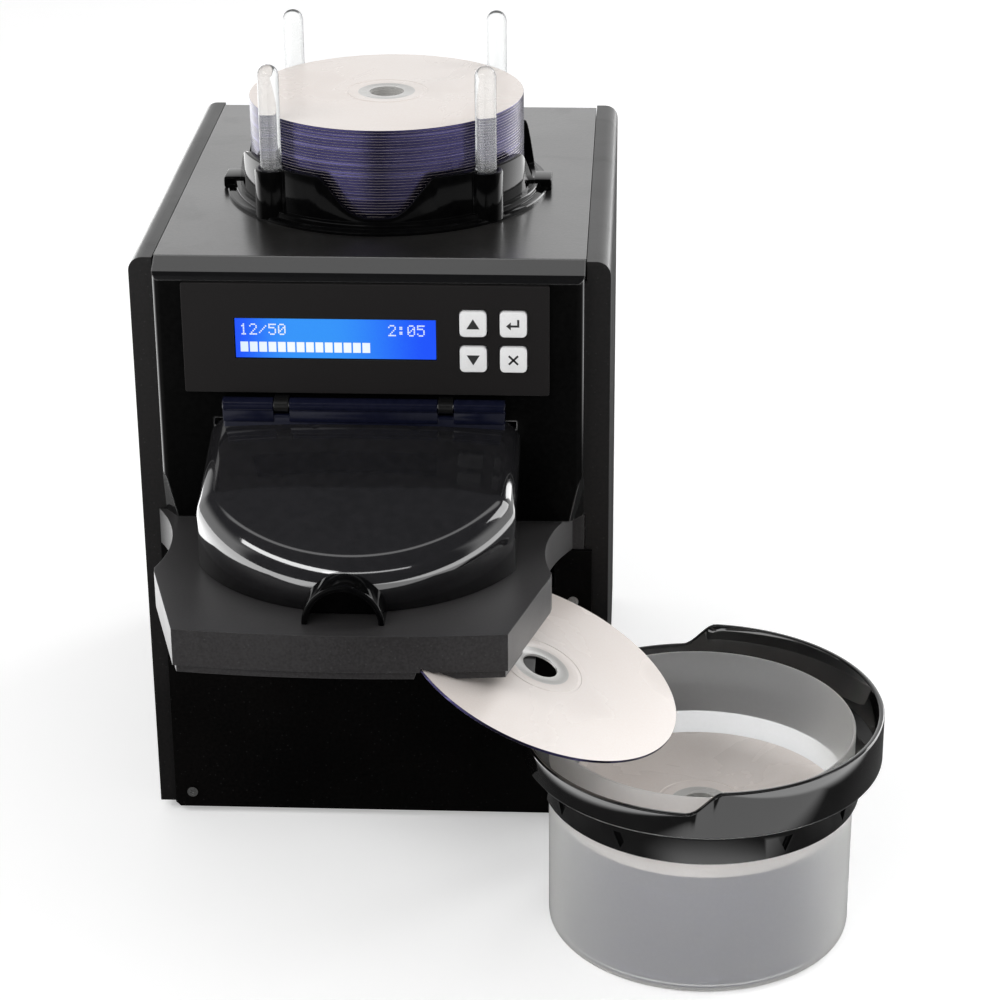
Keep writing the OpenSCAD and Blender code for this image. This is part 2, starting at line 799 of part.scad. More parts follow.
// Plan of the shelf in front of the case, drawn in for its inside
module ledge_plan(inset) {
    rear = scoop_half + scoop_r - sqrt(scoop_r * scoop_r - pow(scoop_y, 2));
    half = ledge_half - inset;
    front = ledge_reach + 2;
    tip = half - (front - ledge_corner) * tan(ledge_chamfer);
    chord = ledge_half - (ledge_reach - ledge_bow - ledge_corner) * tan(ledge_chamfer);
    bow_r = (chord * chord + ledge_bow * ledge_bow) / (2 * ledge_bow);
    difference() {
        intersection() {
            polygon([[-rear + inset, 0], [-half, -ledge_corner], [-tip, -front], [tip, -front],
                [half, -ledge_corner], [rear - inset, 0]]);
            translate([0, bow_r - ledge_reach]) circle(bow_r - inset, $fn = 200);
        }
        for (s = [-1, 1]) translate([s * (scoop_half + scoop_r), -scoop_y]) circle(scoop_r + inset);
    }
}

module disc_ledge() {
    inner_reach = drive_y - seam;
    foot_w = 6;
    lip_d = 3.5;
    lip_inset = 1.5;
    lip_back = ledge_corner + 30;
    rack_room = 2;
    disc_room = 1;
    color([0.09, 0.09, 0.09]) difference() {
        union() {
            translate([shelf_x, 0, ledge_low]) linear_extrude(ledge_h) ledge_plan(0);
            block([-inner_half, -cut, ledge_z - mould_t], [inner_half, inner_reach, ledge_z]);
            block([-inner_half, -cut, ledge_low], [foot_w - inner_half, flange_t, ledge_z]);
            block([relief_right + seam, -cut, ledge_low], [inner_half, flange_t, ledge_z]);
            intersection() {
                translate([shelf_x, 0, ledge_low - lip_d]) linear_extrude(lip_d + cut) ledge_plan(lip_inset);
                block([-case_w, -case_w, 0], [case_w, -lip_back, case_h]);
            }
        }
        translate([shelf_x, 0, ledge_low - lip_d - cut])
            linear_extrude(ledge_h - mould_t + lip_d + cut) intersection() {
                ledge_plan(mould_t + lip_inset);
                translate([-case_w, -case_w]) square([2 * case_w, case_w - mould_t]);
            }
        block([relief_left, -mould_t - cut, ledge_low - cut], [relief_right, cut, ledge_z - mould_t]);
        block([rack_x - rack_body - rack_room, -drop_y, ledge_z - mould_t - cut],
            [rack_x + 2 * rack_module + rack_room, inner_reach + cut, ledge_z + cut]);
        translate([front_x, -drop_y, ledge_low]) cylinder(r = drop_disc_r, h = ledge_h + cut);
        on_chute() translate([0, 0, -disc_r / 2])
            cylinder(r = disc_r + disc_room, h = disc_r / 2 + disc_t / 2 + disc_room);
    }
}

// Plan of the cover, open towards the fascia
module lid_plan(inset, back) {
    wide = 2 * (lid_half - inset);
    intersection() {
        translate([0, lid_mid]) circle(lid_r - inset);
        translate([-wide / 2, -lid_front - cut]) square([wide, lid_front + cut + back]);
    }
}

// Rounded body of the cover, drawn in for its inside
module lid_form(inset, low, back) {
    reach = lid_r - lid_edge;
    side = lid_half - lid_edge;
    widest = asin(side / reach);
    hull() {
        translate([0, 0, low]) linear_extrude(1) lid_plan(inset, back, $fn = 48);
        for (k = [-4:4]) {
            a = k * widest / 4;
            y = lid_mid - reach * cos(a);
            translate([reach * sin(a), y, crown_at(y) - lid_edge]) sphere(lid_edge - inset, $fn = 20);
        }
        for (s = [-1, 1]) translate([s * side, back - lid_edge, crown_at(back - lid_edge) - lid_edge])
            sphere(lid_edge - inset, $fn = 20);
    }
}

// One length of the hinge barrel on the web that carries it
module barrel_length(from, to) {
    web = barrel_r - 0.6;
    translate([from, hinge_y, hinge_z]) rotate([0, 90, 0]) cylinder(r = barrel_r, h = to - from);
    block([from, hinge_y - web, apron_top - 3], [to, hinge_y + web, hinge_z]);
}

module cover_lid() {
    apron_low = crown_at(lid_back - lid_edge) - 8;
    apron_t = 5.5;
    outer_from = barrel_half + 2 * move_gap + bracket_w;
    tab_front = -lid_front - tab_reach;
    color([0.03, 0.03, 0.03]) translate([front_x, 0, 0]) difference() {
        union() {
            lid_form(0, lid_low, lid_back);
            across(2 * apron_half) polygon([[lid_back, apron_low - 6], [lid_back, apron_top],
                [lid_back - apron_t, apron_top - 1.5], [lid_back - apron_t - 4, apron_low]]);
            barrel_length(-barrel_half, barrel_half);
            for (s = [0, 1]) mirror([s, 0, 0]) barrel_length(outer_from, apron_half);
            translate([tab_x - front_x, 0, lid_low]) along(tab_front, -lid_front + 4) intersection() {
                circle(tab_r);
                translate([-tab_r, 0]) square([2 * tab_r, tab_r]);
            }
        }
        lid_form(mould_t, lid_low - 2, lid_back + 8);
        translate([tab_x - front_x, 0, lid_low]) along(tab_front - cut, -lid_front - tab_web)
            circle(tab_r - mould_t);
        translate([-apron_half - cut, hinge_y, hinge_z]) rotate([0, 90, 0])
            cylinder(r = pin_r + run_gap, h = 2 * (apron_half + cut));
    }
}

module hinge_brackets() {
    mid = barrel_half + move_gap + bracket_w / 2;
    half = bracket_w / 2;
    color([0.05, 0.05, 0.05]) for (s = [-1, 1]) translate([front_x + s * mid, 0, 0]) difference() {
        union() {
            translate([-half, hinge_y, hinge_z]) rotate([0, 90, 0]) cylinder(r = barrel_r, h = bracket_w);
            block([-half, hinge_y, hinge_z - barrel_r], [half, face_y, hinge_z + barrel_r]);
        }
        translate([-bracket_w, hinge_y, hinge_z]) rotate([0, 90, 0])
            cylinder(r = pin_r + 0.02, h = 2 * bracket_w);
    }
}

module hinge_pin() {
    half = apron_half - 1;
    color("silver") translate([front_x - half, hinge_y, hinge_z]) rotate([0, 90, 0])
        cylinder(r = pin_r, h = 2 * half);
}

// Outline that takes a smooth dip out of the collar, between two lobes
module collar_dip_profile() {
    steps = 12;
    rise = collar_h - collar_low + 1.5;
    top = collar_h + 5;
    swell = 1.5;
    polygon(concat([for (i = [-steps:steps]) let (x = collar_dip * i / steps)
        [x, collar_low + rise * (1 - cos(180 * pow(abs(i) / steps, swell))) / 2]],
        [[collar_dip + 1, top], [-collar_dip - 1, top]]));
}

module hopper_collar() {
    outer = collar_r + collar_t;
    ear_in = collar_r + 0.8;
    ear_out = hopper_flange_r + 1.5;
    ear_half = 7;
    ear_h = collar_low - 0.5;
    step_r = outer + 2.5;
    step_h = hopper_flange_t + 2.4;
    boss_low = hopper_flange_t / 2;
    boss_h = collar_h - boss_low - 0.6;
    color([0.03, 0.03, 0.03]) translate([0, hopper_y, case_h]) difference() {
        union() {
            cylinder(r = hopper_flange_r, h = hopper_flange_t);
            cylinder(r = step_r, h = step_h);
            difference() {
                union() {
                    translate([0, 0, -sleeve_d]) cylinder(r = outer, h = sleeve_d + collar_h);
                    for (a = [45:90:315]) rotate(a) translate([rod_ring, 0, boss_low])
                        cylinder(r = rod_r + rod_boss, h = boss_h);
                }
                for (a = [0:90:270]) rotate(a) along(-2 * disc_r, -disc_r / 2) collar_dip_profile();
            }
            block([ear_in, -ear_half, 0], [ear_out, ear_half, ear_h]);
            block([-ear_out, -ear_half, 0], [-ear_in, ear_half, ear_h]);
        }
        translate([0, 0, -sleeve_d - cut]) cylinder(r = collar_r, h = sleeve_d + collar_h + 2 * cut);
        for (a = [45:90:315]) rotate(a) translate([rod_ring, 0, rod_seat])
            cylinder(r = rod_r + rod_fit, h = collar_h + cut);
    }
}

module guide_rods() {
    straight = rod_top - rod_r - rod_seat;
    color([0.85, 0.88, 0.9, 0.5]) for (a = [45:90:315]) translate([0, hopper_y, case_h]) rotate(a)
        translate([rod_ring, 0, rod_seat]) {
            cylinder(r = rod_r, h = straight);
            translate([0, 0, straight]) sphere(rod_r);
        }
}

module blank_discs() {
    color([0.9, 0.88, 0.84]) translate([0, hopper_y, stack_z]) disc_stack(blank_count);
}

module dispenser_frame() {
    half = inner_half - 2;
    half_y = frame_post_y + 6;
    arm = motor_r + 6;
    rear = pinion_y + motor_r + 4;
    race_h = frame_t + move_gap + ring_t - 1;
    post_r = 4;
    color("gray") difference() {
        union() {
            block([-half, hopper_y - half_y, frame_low], [half, hopper_y + half_y, frame_top]);
            block([-arm, hopper_y, frame_low], [arm, rear, frame_top]);
            translate([0, hopper_y, frame_low]) cylinder(r = race_r - run_gap, h = race_h);
            for (x = [-1, 1], y = [-1, 1])
                translate([x * frame_post_x, hopper_y + y * frame_post_y, frame_low])
                    cylinder(r = post_r, h = top_under - frame_low);
        }
        translate([0, hopper_y, frame_low - cut]) cylinder(r = collar_r + 0.6, h = race_h + 2 * cut);
        translate([0, pinion_y, frame_low - cut]) cylinder(r = motor_boss_r, h = frame_t + 2 * cut);
    }
}

// Toothed ring that carries the stack on four blades and sets one disc free at each turn
module separator_ring() {
    color("ivory") translate([0, hopper_y, ring_low]) {
        difference() {
            linear_extrude(ring_t) polygon(gear_points(ring_teeth, ring_module));
            translate([0, 0, -cut]) cylinder(r = race_r, h = ring_t + 2 * cut);
        }
        for (a = [0:90:270]) rotate(a) intersection() {
            translate([0, 0, ring_t - cut]) ring(race_r + 3, disc_r - blade_reach, blade_t + cut);
            translate([0, 0, ring_t]) rotate_extrude(angle = 26) square([ring_r, blade_t]);
        }
    }
}

module dispenser_motor() {
    cap_h = 3;
    color("silver") translate([0, pinion_y, frame_low - motor_len]) {
        cylinder(r = motor_r, h = motor_len);
        translate([0, 0, motor_len - cut]) cylinder(r = motor_boss_r - 0.1, h = frame_t + cut);
        translate([0, 0, motor_len]) cylinder(r = shaft_r, h = frame_t + move_gap + ring_t);
        translate([0, 0, -cap_h]) cylinder(r = motor_r * 0.45, h = cap_h + cut);
    }
}

module motor_pinion() {
    color("ivory") translate([0, pinion_y, ring_low]) difference() {
        linear_extrude(ring_t) polygon(gear_points(pinion_teeth, ring_module));
        translate([0, 0, -cut]) cylinder(r = shaft_r + run_gap, h = ring_t + 2 * cut);
    }
}

// Sloped floor with low sides, hung under the dispenser frame and standing on the drive
module feed_ramp() {
    rear = hopper_y + disc_r + 1;
    half = disc_r + 3;
    wall = 2;
    wall_h = 14;
    foot_x = 40;
    foot_half = 8;
    foot_y = drive_y + 6;
    foot_t = 3;
    color("lightgray") {
        intersection() {
            across(2 * half) polygon([[ramp_front, ramp_z], [rear, ramp_at(rear)],
                [rear, ramp_at(rear) - wall], [ramp_front, ramp_z - wall]]);
            block([-half, 0, 0], [half, case_d, frame_low]);
        }
        intersection() {
            for (s = [-1, 1]) across(wall, s * (half + wall / 2)) polygon([[ramp_front, ramp_z - wall],
                [ramp_front, ramp_z + wall_h], [rear, ramp_at(rear) + wall_h], [rear, ramp_at(rear) - wall]]);
            block([-case_w, 0, 0], [case_w, case_d, frame_low]);
        }
        for (x = [-foot_x, foot_x]) difference() {
            block([x - foot_half, foot_y, drive_top], [x + foot_half, foot_y + foot_t, ramp_at(foot_y)]);
            across(3 * foot_half, x) polygon([[0, ramp_at(0)], [case_d, ramp_at(case_d)],
                [case_d, 2 * case_h], [0, 2 * case_h]]);
        }
    }
}

module drive_rails() {
    drop = 22;
    front = drive_y + 10;
    rear = drive_y + drive_len - 20;
    seat = 4;
    color("gray") for (s = [-1, 1]) {
        wall = s * (inner_half - sheet_t / 2);
        edge = front_x + s * (drive_w / 2 - seat);
        block([wall - sheet_t / 2, front, drive_z - sheet_t - drop], [wall + sheet_t / 2, rear, drive_z]);
        block([min(wall, edge), front, drive_z - sheet_t], [max(wall, edge), rear, drive_z]);
    }
}

// Sheet-metal shell of the drive, open in front, with two rails that carry the tray
module drive_housing() {
    wall = 1;
    face_t = 3;
    half = drive_w / 2;
    slot_half = tray_w / 2 + 1;
    slot_low = tray_z - drive_z - 5.5;
    slot_top = tray_z + tray_t + 2 - drive_z;
    rail_x = tray_w / 2 - 4;
    vent_w = 4;
    vent_pitch = 16;
    color("silver") translate([front_x, drive_y, drive_z]) difference() {
        union() {
            difference() {
                block([-half, 0, 0], [half, drive_len, drive_h]);
                block([-half + wall, face_t, wall], [half - wall, drive_len - wall, drive_h - wall]);
            }
            for (s = [-1, 1]) translate([s * rail_x, 0, 0])
                block([-1, 2, wall - cut], [1, drive_len - 2, rail_z - drive_z]);
        }
        block([-slot_half, -cut, slot_low], [slot_half, face_t + cut, slot_top]);
        for (i = [-3:3]) translate([i * vent_pitch, drive_len * 0.75, drive_h - wall - cut])
            linear_extrude(wall + 2 * cut) rounded(vent_w, 10 * vent_w, vent_w / 2 - 0.1);
    }
}

// Plan of the tray about the disc's middle: round in front, straight behind
module tray_plan() {
    circle(tray_w / 2);
    translate([-tray_w / 2, 0]) square([tray_w, drive_len - drive_set - 10]);
}

module drive_tray() {
    recess = 1.6;
    pitch = PI * rack_module;
    rack_len = tray_travel + 2 * pitch;
    rack_h = 3.6;
    tip = 1.9 * rack_module - 0.1;
    root = -0.4;
    hub_room = 21;
    sled_room = 34;
    color([0.1, 0.1, 0.1]) {
        translate([front_x, hopper_y, tray_z]) difference() {
            linear_extrude(tray_t) tray_plan();
            translate([0, 0, tray_t - recess]) cylinder(r = disc_r + 0.8, h = recess + cut);
            translate([0, 0, -cut]) cylinder(r = hub_room, h = tray_t);
            translate([-sled_room / 2, 0, -cut]) cube([sled_room, disc_r - 8, tray_t]);
        }
        translate([0, tray_pinion_y, tray_z - rack_h]) linear_extrude(rack_h + 0.1) union() {
            translate([rack_x - rack_body, -pitch]) square([rack_body - 0.2 * rack_module, rack_len]);
            for (i = [-1:floor(tray_travel / pitch)]) translate([rack_x, (i + 0.5) * pitch]) polygon([
                [root, -0.30 * pitch], [tip, -0.11 * pitch], [tip, 0.11 * pitch], [root, 0.30 * pitch]]);
        }
    }
}

module tray_pinion() {
    thick = 3;
    low = tray_z - 3.5;
    foot = drive_floor + 0.4;
    sleeve_r = 3.5;
    color("ivory") translate([tray_pinion_x, tray_pinion_y, 0]) difference() {
        union() {
            translate([0, 0, low]) linear_extrude(thick) polygon(gear_points(tray_teeth, rack_module));
            translate([0, 0, foot]) cylinder(r = sleeve_r, h = low - foot + cut);
        }
        translate([0, 0, foot - cut]) cylinder(r = shaft_r + run_gap, h = low + thick - foot + 2 * cut);
    }
}

module spindle_motor() {
    top = tray_z - 6;
    can_r = 13;
    color("silver") {
        translate([front_x, hopper_y, drive_floor]) cylinder(r = can_r, h = top - drive_floor);
        translate([front_x, hopper_y, top - cut]) cylinder(r = hub_pin_r, h = 3.6);
        translate([tray_pinion_x, tray_pinion_y, drive_floor])
            cylinder(r = shaft_r, h = tray_z - 1 - drive_floor);
    }
}

module spindle_hub() {
    low = tray_z - 5.7;
    table_r = 14;
    table_t = 2;
    height = 4.6;
    color("gray") translate([front_x, hopper_y, low]) difference() {
        union() {
            cylinder(r = table_r, h = table_t);
            cylinder(r = hub_r, h = height);
        }
        translate([0, 0, -cut]) cylinder(r = hub_pin_r + run_gap, h = height + 2 * cut);
    }
}

module sled_rods() {
    length = 60;
    post_t = 3;
    post_half = 2.5;
    height = 4;
    color("silver") for (s = [-1, 1])
        translate([front_x + s * sled_rod_x, hopper_y + 10, sled_low + height]) {
            rotate([-90, 0, 0]) cylinder(r = shaft_r, h = length);
            for (y = [0, length - post_t])
                block([-post_half, y, drive_floor - sled_low - height], [post_half, y + post_t, 0]);
        }
}

module pickup_sled() {
    half = sled_rod_x + 4;
    length = 16;
    height = 8;
    lens_r = 4;
    color([0.15, 0.15, 0.16]) translate([front_x, hopper_y + 17, sled_low]) difference() {
        union() {
            block([-half, 0, 0.4], [half, length, height]);
            translate([0, length / 2, height - cut]) cylinder(r = lens_r, h = 1.5 + cut);
        }
        for (s = [-1, 1]) translate([s * sled_rod_x, -cut, height / 2]) rotate([-90, 0, 0])
            cylinder(r = shaft_r + run_gap, h = length + 2 * cut);
    }
}

// The space between two heights over the chute's steep end
module steep(low, high) {
    big = 500;
    on_chute() translate([-big / 2, -big / 2, low - chute_drop]) cube([big, big, high - low]);
}

// The space between two heights over the floor on which a disc is set down
module gentle(low, high) {
    big = 500;
    translate([chute_left, 0, chute_flat]) rotate([0, release_tilt, 0])
        translate([-big / 2, -big / 2, low]) cube([big, big, high - low]);
}

// Floor that slopes gently under the cover and then falls away to the right
module exit_chute() {
    right = eject_x - 2;
    front = 96;
    rear = drop_disc_r - drop_y + 2;
    rear_right = disc_r + 3 - eject_y;
    wall = 2;
    wall_h = 5;
    boss_r = actuator_r + 3;
    lug_low = relief_low - 12;
    lug_t = 3;
    headroom = 60;
    color([0.1, 0.1, 0.11]) difference() {
        union() {
            intersection() {
                linear_extrude(case_h) polygon([[chute_left, -front + 8], [chute_left, rear],
                    [front_x + 28, rear], [right, rear_right], [right, -front], [chute_left + 8, -front]]);
                union() {
                    difference() {
                        steep(-chute_t, 0);
                        gentle(0, headroom);
                    }
                    difference() {
                        gentle(-chute_t, 0);
                        steep(0, headroom);
                    }
                }
            }
            intersection() {
                linear_extrude(chute_flat) polygon([[front_x + 28, rear], [right, rear_right],
                    [right, rear_right - wall], [front_x + 28, rear - wall]]);
                difference() {
                    union() {
                        steep(-chute_t, wall_h);
                        gentle(-chute_t, wall_h);
                    }
                    steep(-headroom, -chute_t / 2);
                    gentle(-headroom, -chute_t / 2);
                }
            }
            difference() {
                union() {
                    translate([front_x, -drop_y, actuator_top]) cylinder(r = boss_r, h = 20);
                    block([-40, -sheet_t - lug_t, lug_low], [36, -sheet_t, chute_flat]);
                }
                gentle(-chute_t / 2, headroom);
                steep(-chute_t / 2, headroom);
            }
        }
        translate([front_x, -drop_y, actuator_top - cut]) cylinder(r = actuator_r - 0.5, h = 40);
    }
}

module lift_actuator() {
    color([0.2, 0.2, 0.22]) translate([front_x, -drop_y, actuator_top - actuator_len]) difference() {
        union() {
            cylinder(r = actuator_r + 2.5, h = actuator_len);
            translate([0, 0, -4]) cylinder(r = 7, h = 4 + cut);
        }
        translate([0, 0, 1]) cylinder(r = lift_r + run_gap, h = actuator_len);
    }
}

module lift_spindle() {
    color("silver") translate([front_x, -drop_y, actuator_top]) {
        translate([0, 0, 1.5 - actuator_len]) cylinder(r = lift_r, h = actuator_len);
        translate([0, 0, move_gap]) cylinder(r = 11, h = 2.7);
        translate([0, 0, move_gap + 2]) cylinder(r1 = disc_hole_r - 0.4, r2 = disc_hole_r - 1.6, h = 3.4);
    }
}

module finished_disc() {
    color([0.92, 0.88, 0.84]) on_chute() translate([0, 0, -disc_t / 2]) disc();
}

module main_board() {
    low = sheet_t + board_lift;
    top = low + board_t;
    hole_r = 1.7;
    color("darkgreen") translate([board_left, main_y, 0]) {
        difference() {
            block([0, 0, low], [board_w, board_d, top]);
            for (x = [board_hole, board_w - board_hole], y = [board_hole, board_d - board_hole])
                translate([x, y, low - cut]) cylinder(r = hole_r, h = board_t + 2 * cut);
        }
        block([30, 60, top], [58, 88, top + 3]);
        block([board_w - 34, 20, top], [board_w - 22, 60, top + 2]);
        block([12, board_d - 40, top], [24, board_d - 10, top + 9]);
        for (i = [0:2]) translate([board_w - 64 + i * 18, board_d - 28, top]) cube([14, 22, 11]);
        for (i = [0:3]) translate([14 + i * 11, 20, top]) cylinder(r = 4, h = 12);
    }
}

module board_posts() {
    post_r = 3;
    screw = 1.6;
    head_r = 2.8;
    color("goldenrod") for (x = [board_hole, board_w - board_hole], y = [board_hole, board_d - board_hole])
        translate([board_left + x, main_y + y, sheet_t]) {
            cylinder(r = post_r, h = board_lift, $fn = 6);
            cylinder(r = screw, h = board_lift + board_t);
            translate([0, 0, board_lift + board_t]) cylinder(r = head_r, h = screw);
        }
}

module power_supply() {
    low = [supply_left, supply_y, sheet_t];
    high = low + [supply_w, supply_len, supply_h];
    mid = (low[0] + high[0]) / 2;
    wall = 1.2;
    vent_w = 4;
    vent_pitch = 11;
    color("silver") difference() {
        block(low, high);
        block(low + [wall, wall, wall], high - [wall, wall, wall]);
        for (i = [0:8]) translate([mid, low[1] + 20 + i * vent_pitch, high[2] - wall - cut])
            linear_extrude(wall + 2 * cut) rounded(9 * vent_w, vent_w, vent_w / 2 - 0.1);
    }
}

module fan_frame() {
    half = fan_w / 2;
    front = rear_y - fan_t;
    hub = 12;
    hole_x = half - 5;
    hole_r = 2.1;
    bar_w = 3;
    color("black") translate([fan_x, 0, fan_z]) {
        difference() {
            along(front, rear_y) rounded(fan_w, fan_w, 4);
            translate([0, front - cut, 0]) rotate([-90, 0, 0]) cylinder(r = half - 2, h = fan_t + 2 * cut);
            for (x = [-1, 1], z = [-1, 1]) translate([x * hole_x, front - cut, z * hole_x])
                rotate([-90, 0, 0]) cylinder(r = hole_r, h = fan_t + 2 * cut);
        }
        translate([0, front, 0]) rotate([-90, 0, 0]) {
            cylinder(r = hub, h = fan_bar_t);
            for (a = [30:120:270]) rotate(a) translate([hub - 2, -bar_w / 2, 0])
                cube([half - hub + 1, bar_w, fan_bar_t]);
            translate([0, 0, fan_bar_t - cut]) cylinder(r = fan_pin_r, h = 6);
        }
    }
}

module fan_rotor() {
    front = rear_y - fan_t + fan_bar_t + move_gap;
    depth = fan_t - 3.5;
    blades = 7;
    blade = 1.6;
    pitch = 38;
    sweep = 44;
    hub = 13;
    tip = fan_w / 2 - 3;
    color([0.12, 0.12, 0.12]) translate([fan_x, front, fan_z]) rotate([-90, 0, 0]) difference() {
        union() {
            cylinder(r = hub, h = depth);
            for (i = [0:blades - 1]) intersection() {
                ring(tip, hub - 1, depth);
                rotate(i * 360 / blades) translate([hub - 1, 0, depth / 2]) rotate([pitch, 0, 0])
                    translate([-2, -20, -blade / 2]) cube([tip, 40, blade]);
                rotate(i * 360 / blades - sweep / 2) rotate_extrude(angle = sweep) square([tip + 2, depth]);
            }
        }
        translate([0, 0, -cut]) cylinder(r = fan_pin_r + run_gap, h = depth - 2);
    }
}

// Three-pin appliance inlet, set into the rear panel
module power_inlet() {
    depth = 17;
    back = rear_y + sheet_t;
    rim = 4;
    color("black") translate([inlet_x, 0, inlet_z]) {
        difference() {
            union() {
                along(back, back + rear_flange_t) rounded(inlet_w + rim, inlet_h + rim, 2);
                along(rear_y - depth, back + cut) rounded(inlet_w, inlet_h, 2);
            }
            along(rear_y - depth + 2, back + rear_flange_t + cut)
                polygon([[-12, -8], [12, -8], [12, 4], [8, 8], [-8, 8], [-12, 4]]);
        }
        for (p = [[-7, -2], [0, 2], [7, -2]]) translate([p[0], 0, p[1]])
            along(rear_y - depth + 1, rear_y - 5) square([2, 4], center = true);
    }
}

module switch_frame() {
    depth = 12;
    back = rear_y + sheet_t;
    rim = 3;
    color("black") translate([switch_x, 0, inlet_z]) difference() {
        union() {
            along(back, back + rear_flange_t) rounded(switch_w + rim, switch_h + rim, 1.5);
            along(rear_y - depth, back + cut) square([switch_w, switch_h], center = true);
        }
        along(rear_y - depth + switch_wall, back + rear_flange_t + cut)
            square([switch_w - 2 * switch_wall, switch_h - 2 * switch_wall], center = true);
        translate([-switch_w, rear_y - rocker_set, 0]) rotate([0, 90, 0])
            cylinder(r = rocker_pin_r, h = 2 * switch_w);
    }
}

// Rocker on its own trunnions
module power_switch() {
    half = switch_h / 2 - switch_wall - move_gap - 0.5;
    wide = switch_w - 2 * switch_wall - 2 * move_gap;
    pin = switch_w - 2 * move_gap;
    tip = sheet_t + 1.4;
    color([0.12, 0.12, 0.12]) translate([switch_x, rear_y, inlet_z]) {
        across(wide) polygon([[-5, -3], [-5, 3], [tip - 2.6, half - 0.6], [tip, half - 1.2], [tip - 1.1, 0],
            [tip - 2, -half + 1], [tip - 3.4, -half + 1.2]]);
        translate([-pin / 2, -rocker_set, 0]) rotate([0, 90, 0])
            cylinder(r = rocker_pin_r - run_gap, h = pin);
    }
}

module bin_placed() {
    translate([bin_x, -bin_y, -foot_h]) children();
}

module bin_tub() {
    edge = 3;
    color([0.85, 0.87, 0.9, 0.6]) bin_placed() rotate_extrude() difference() {
        union() {
            square([tub_r - edge, tub_h]);
            translate([0, edge]) square([tub_r, tub_h - edge]);
            translate([tub_r - edge, edge]) circle(edge);
        }
        translate([-cut, tub_floor]) square([tub_r - tub_t + cut, tub_h]);
        translate([-2 * tub_r, -cut]) square([2 * tub_r, tub_h + 2]);
    }
}

// Half profile of the bin's collar up to a given height of its upper edge
module collar_profile(top) {
    low = tub_h - guard_drop;
    inner = tub_r + 0.1;
    outer = inner + guard_t;
    flare = low + band_h;
    wide = flare + guard_cone;
    polygon([[inner, low], [outer, low], [outer, flare], [guard_r, wide], [guard_r, top],
        [guard_r - guard_t, top], [guard_r - guard_t, wide + 1], [inner, flare + 1]]);
}

// Snap collar with a low side towards the machine and a high guard on the far side
module bin_collar() {
    step = 14;
    high = tub_h + guard_high;
    low = tub_h - guard_low;
    band = tub_h - guard_drop;
    wedge = 7;
    far = 2 * guard_r;
    color([0.05, 0.05, 0.05]) bin_placed() difference() {
        rotate_extrude() collar_profile(high);
        along(-far, far) polygon([[-far, low], [-step / 2, low], [step / 2, high + cut], [-far, high + cut]]);
        for (a = [-150, -120, -60, -30]) rotate(a) translate([tub_r - cut, 0, band + 2]) rotate([90, 0, 90])
            linear_extrude(guard_t + 3) polygon([[-wedge / 2, wedge], [wedge / 2, wedge], [0, 0]]);
    }
}

module done_discs() {
    color([0.93, 0.9, 0.86]) bin_placed() translate([0, 0, tub_floor + 0.02]) disc_stack(done_count);
}

placed() base_pan();
placed() rubber_feet();
placed() left_side_panel();
placed() right_side_panel();
placed() top_plate();
placed() rear_panel();
placed() rear_screws();
placed() lower_front_panel();
placed() front_screws();
placed() front_fascia();
placed() display_overlay();
placed() lcd_module();
placed() control_board();
placed() key_mat();
placed() up_key();
placed() down_key();
placed() enter_key();
placed() escape_key();
placed() disc_ledge();
placed() cover_lid();
placed() hinge_brackets();
placed() hinge_pin();
placed() hopper_collar();
placed() guide_rods();
placed() blank_discs();
placed() dispenser_frame();
placed() separator_ring();
placed() dispenser_motor();
placed() motor_pinion();
placed() feed_ramp();
placed() drive_rails();
placed() drive_housing();
placed() drive_tray();
placed() tray_pinion();
placed() spindle_motor();
placed() spindle_hub();
placed() sled_rods();
placed() pickup_sled();
placed() exit_chute();
placed() lift_actuator();
placed() lift_spindle();
placed() finished_disc();
placed() main_board();
placed() board_posts();
placed() power_supply();
placed() fan_frame();
placed() fan_rotor();
placed() power_inlet();
placed() switch_frame();
placed() power_switch();
placed() bin_tub();
placed() bin_collar();
placed() done_discs();
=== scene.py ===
"""Looks of a desktop disc duplicator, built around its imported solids.

Sizes in the classes are millimetres in the case's own frame: x = 0 is the middle of the case, y = 0 the
front of the side panels and z = 0 the bottom edge of the case. Finished meshes are metres in the row frame.
"""

import logging
import math
from dataclasses import dataclass
from enum import Enum
from typing import Callable, Dict, Iterable, List, Optional, Sequence, Tuple

import bmesh
import bpy
from bmesh.types import BMEdge, BMesh, BMFace, BMVert
from bpy.types import Material, Node, NodeSocket, NodeTree, Object
from mathutils import Matrix, Vector


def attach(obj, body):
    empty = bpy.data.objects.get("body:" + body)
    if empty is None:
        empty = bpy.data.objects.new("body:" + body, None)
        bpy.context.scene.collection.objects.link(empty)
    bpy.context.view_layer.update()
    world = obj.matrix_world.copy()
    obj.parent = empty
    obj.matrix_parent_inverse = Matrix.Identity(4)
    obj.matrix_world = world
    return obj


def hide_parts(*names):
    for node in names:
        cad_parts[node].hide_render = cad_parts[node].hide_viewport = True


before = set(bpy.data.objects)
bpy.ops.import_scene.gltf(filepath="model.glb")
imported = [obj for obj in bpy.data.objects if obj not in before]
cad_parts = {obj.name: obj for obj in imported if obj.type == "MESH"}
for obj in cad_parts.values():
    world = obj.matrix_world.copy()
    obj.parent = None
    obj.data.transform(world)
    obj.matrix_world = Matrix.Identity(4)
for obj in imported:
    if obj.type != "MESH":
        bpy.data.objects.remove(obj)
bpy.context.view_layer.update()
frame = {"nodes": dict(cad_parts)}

Colour = Tuple[float, float, float]
Point2 = Tuple[float, float]
Point3 = Tuple[float, float, float]

LOG = logging.getLogger("duplicator")
MM = 0.001
# Where the case's own zero lies in the row frame, in millimetres
DATUM = Vector((-57.0, -38.5, 3.0))
TO_ROW = Matrix.Scale(MM, 4) @ Matrix.Translation(DATUM)
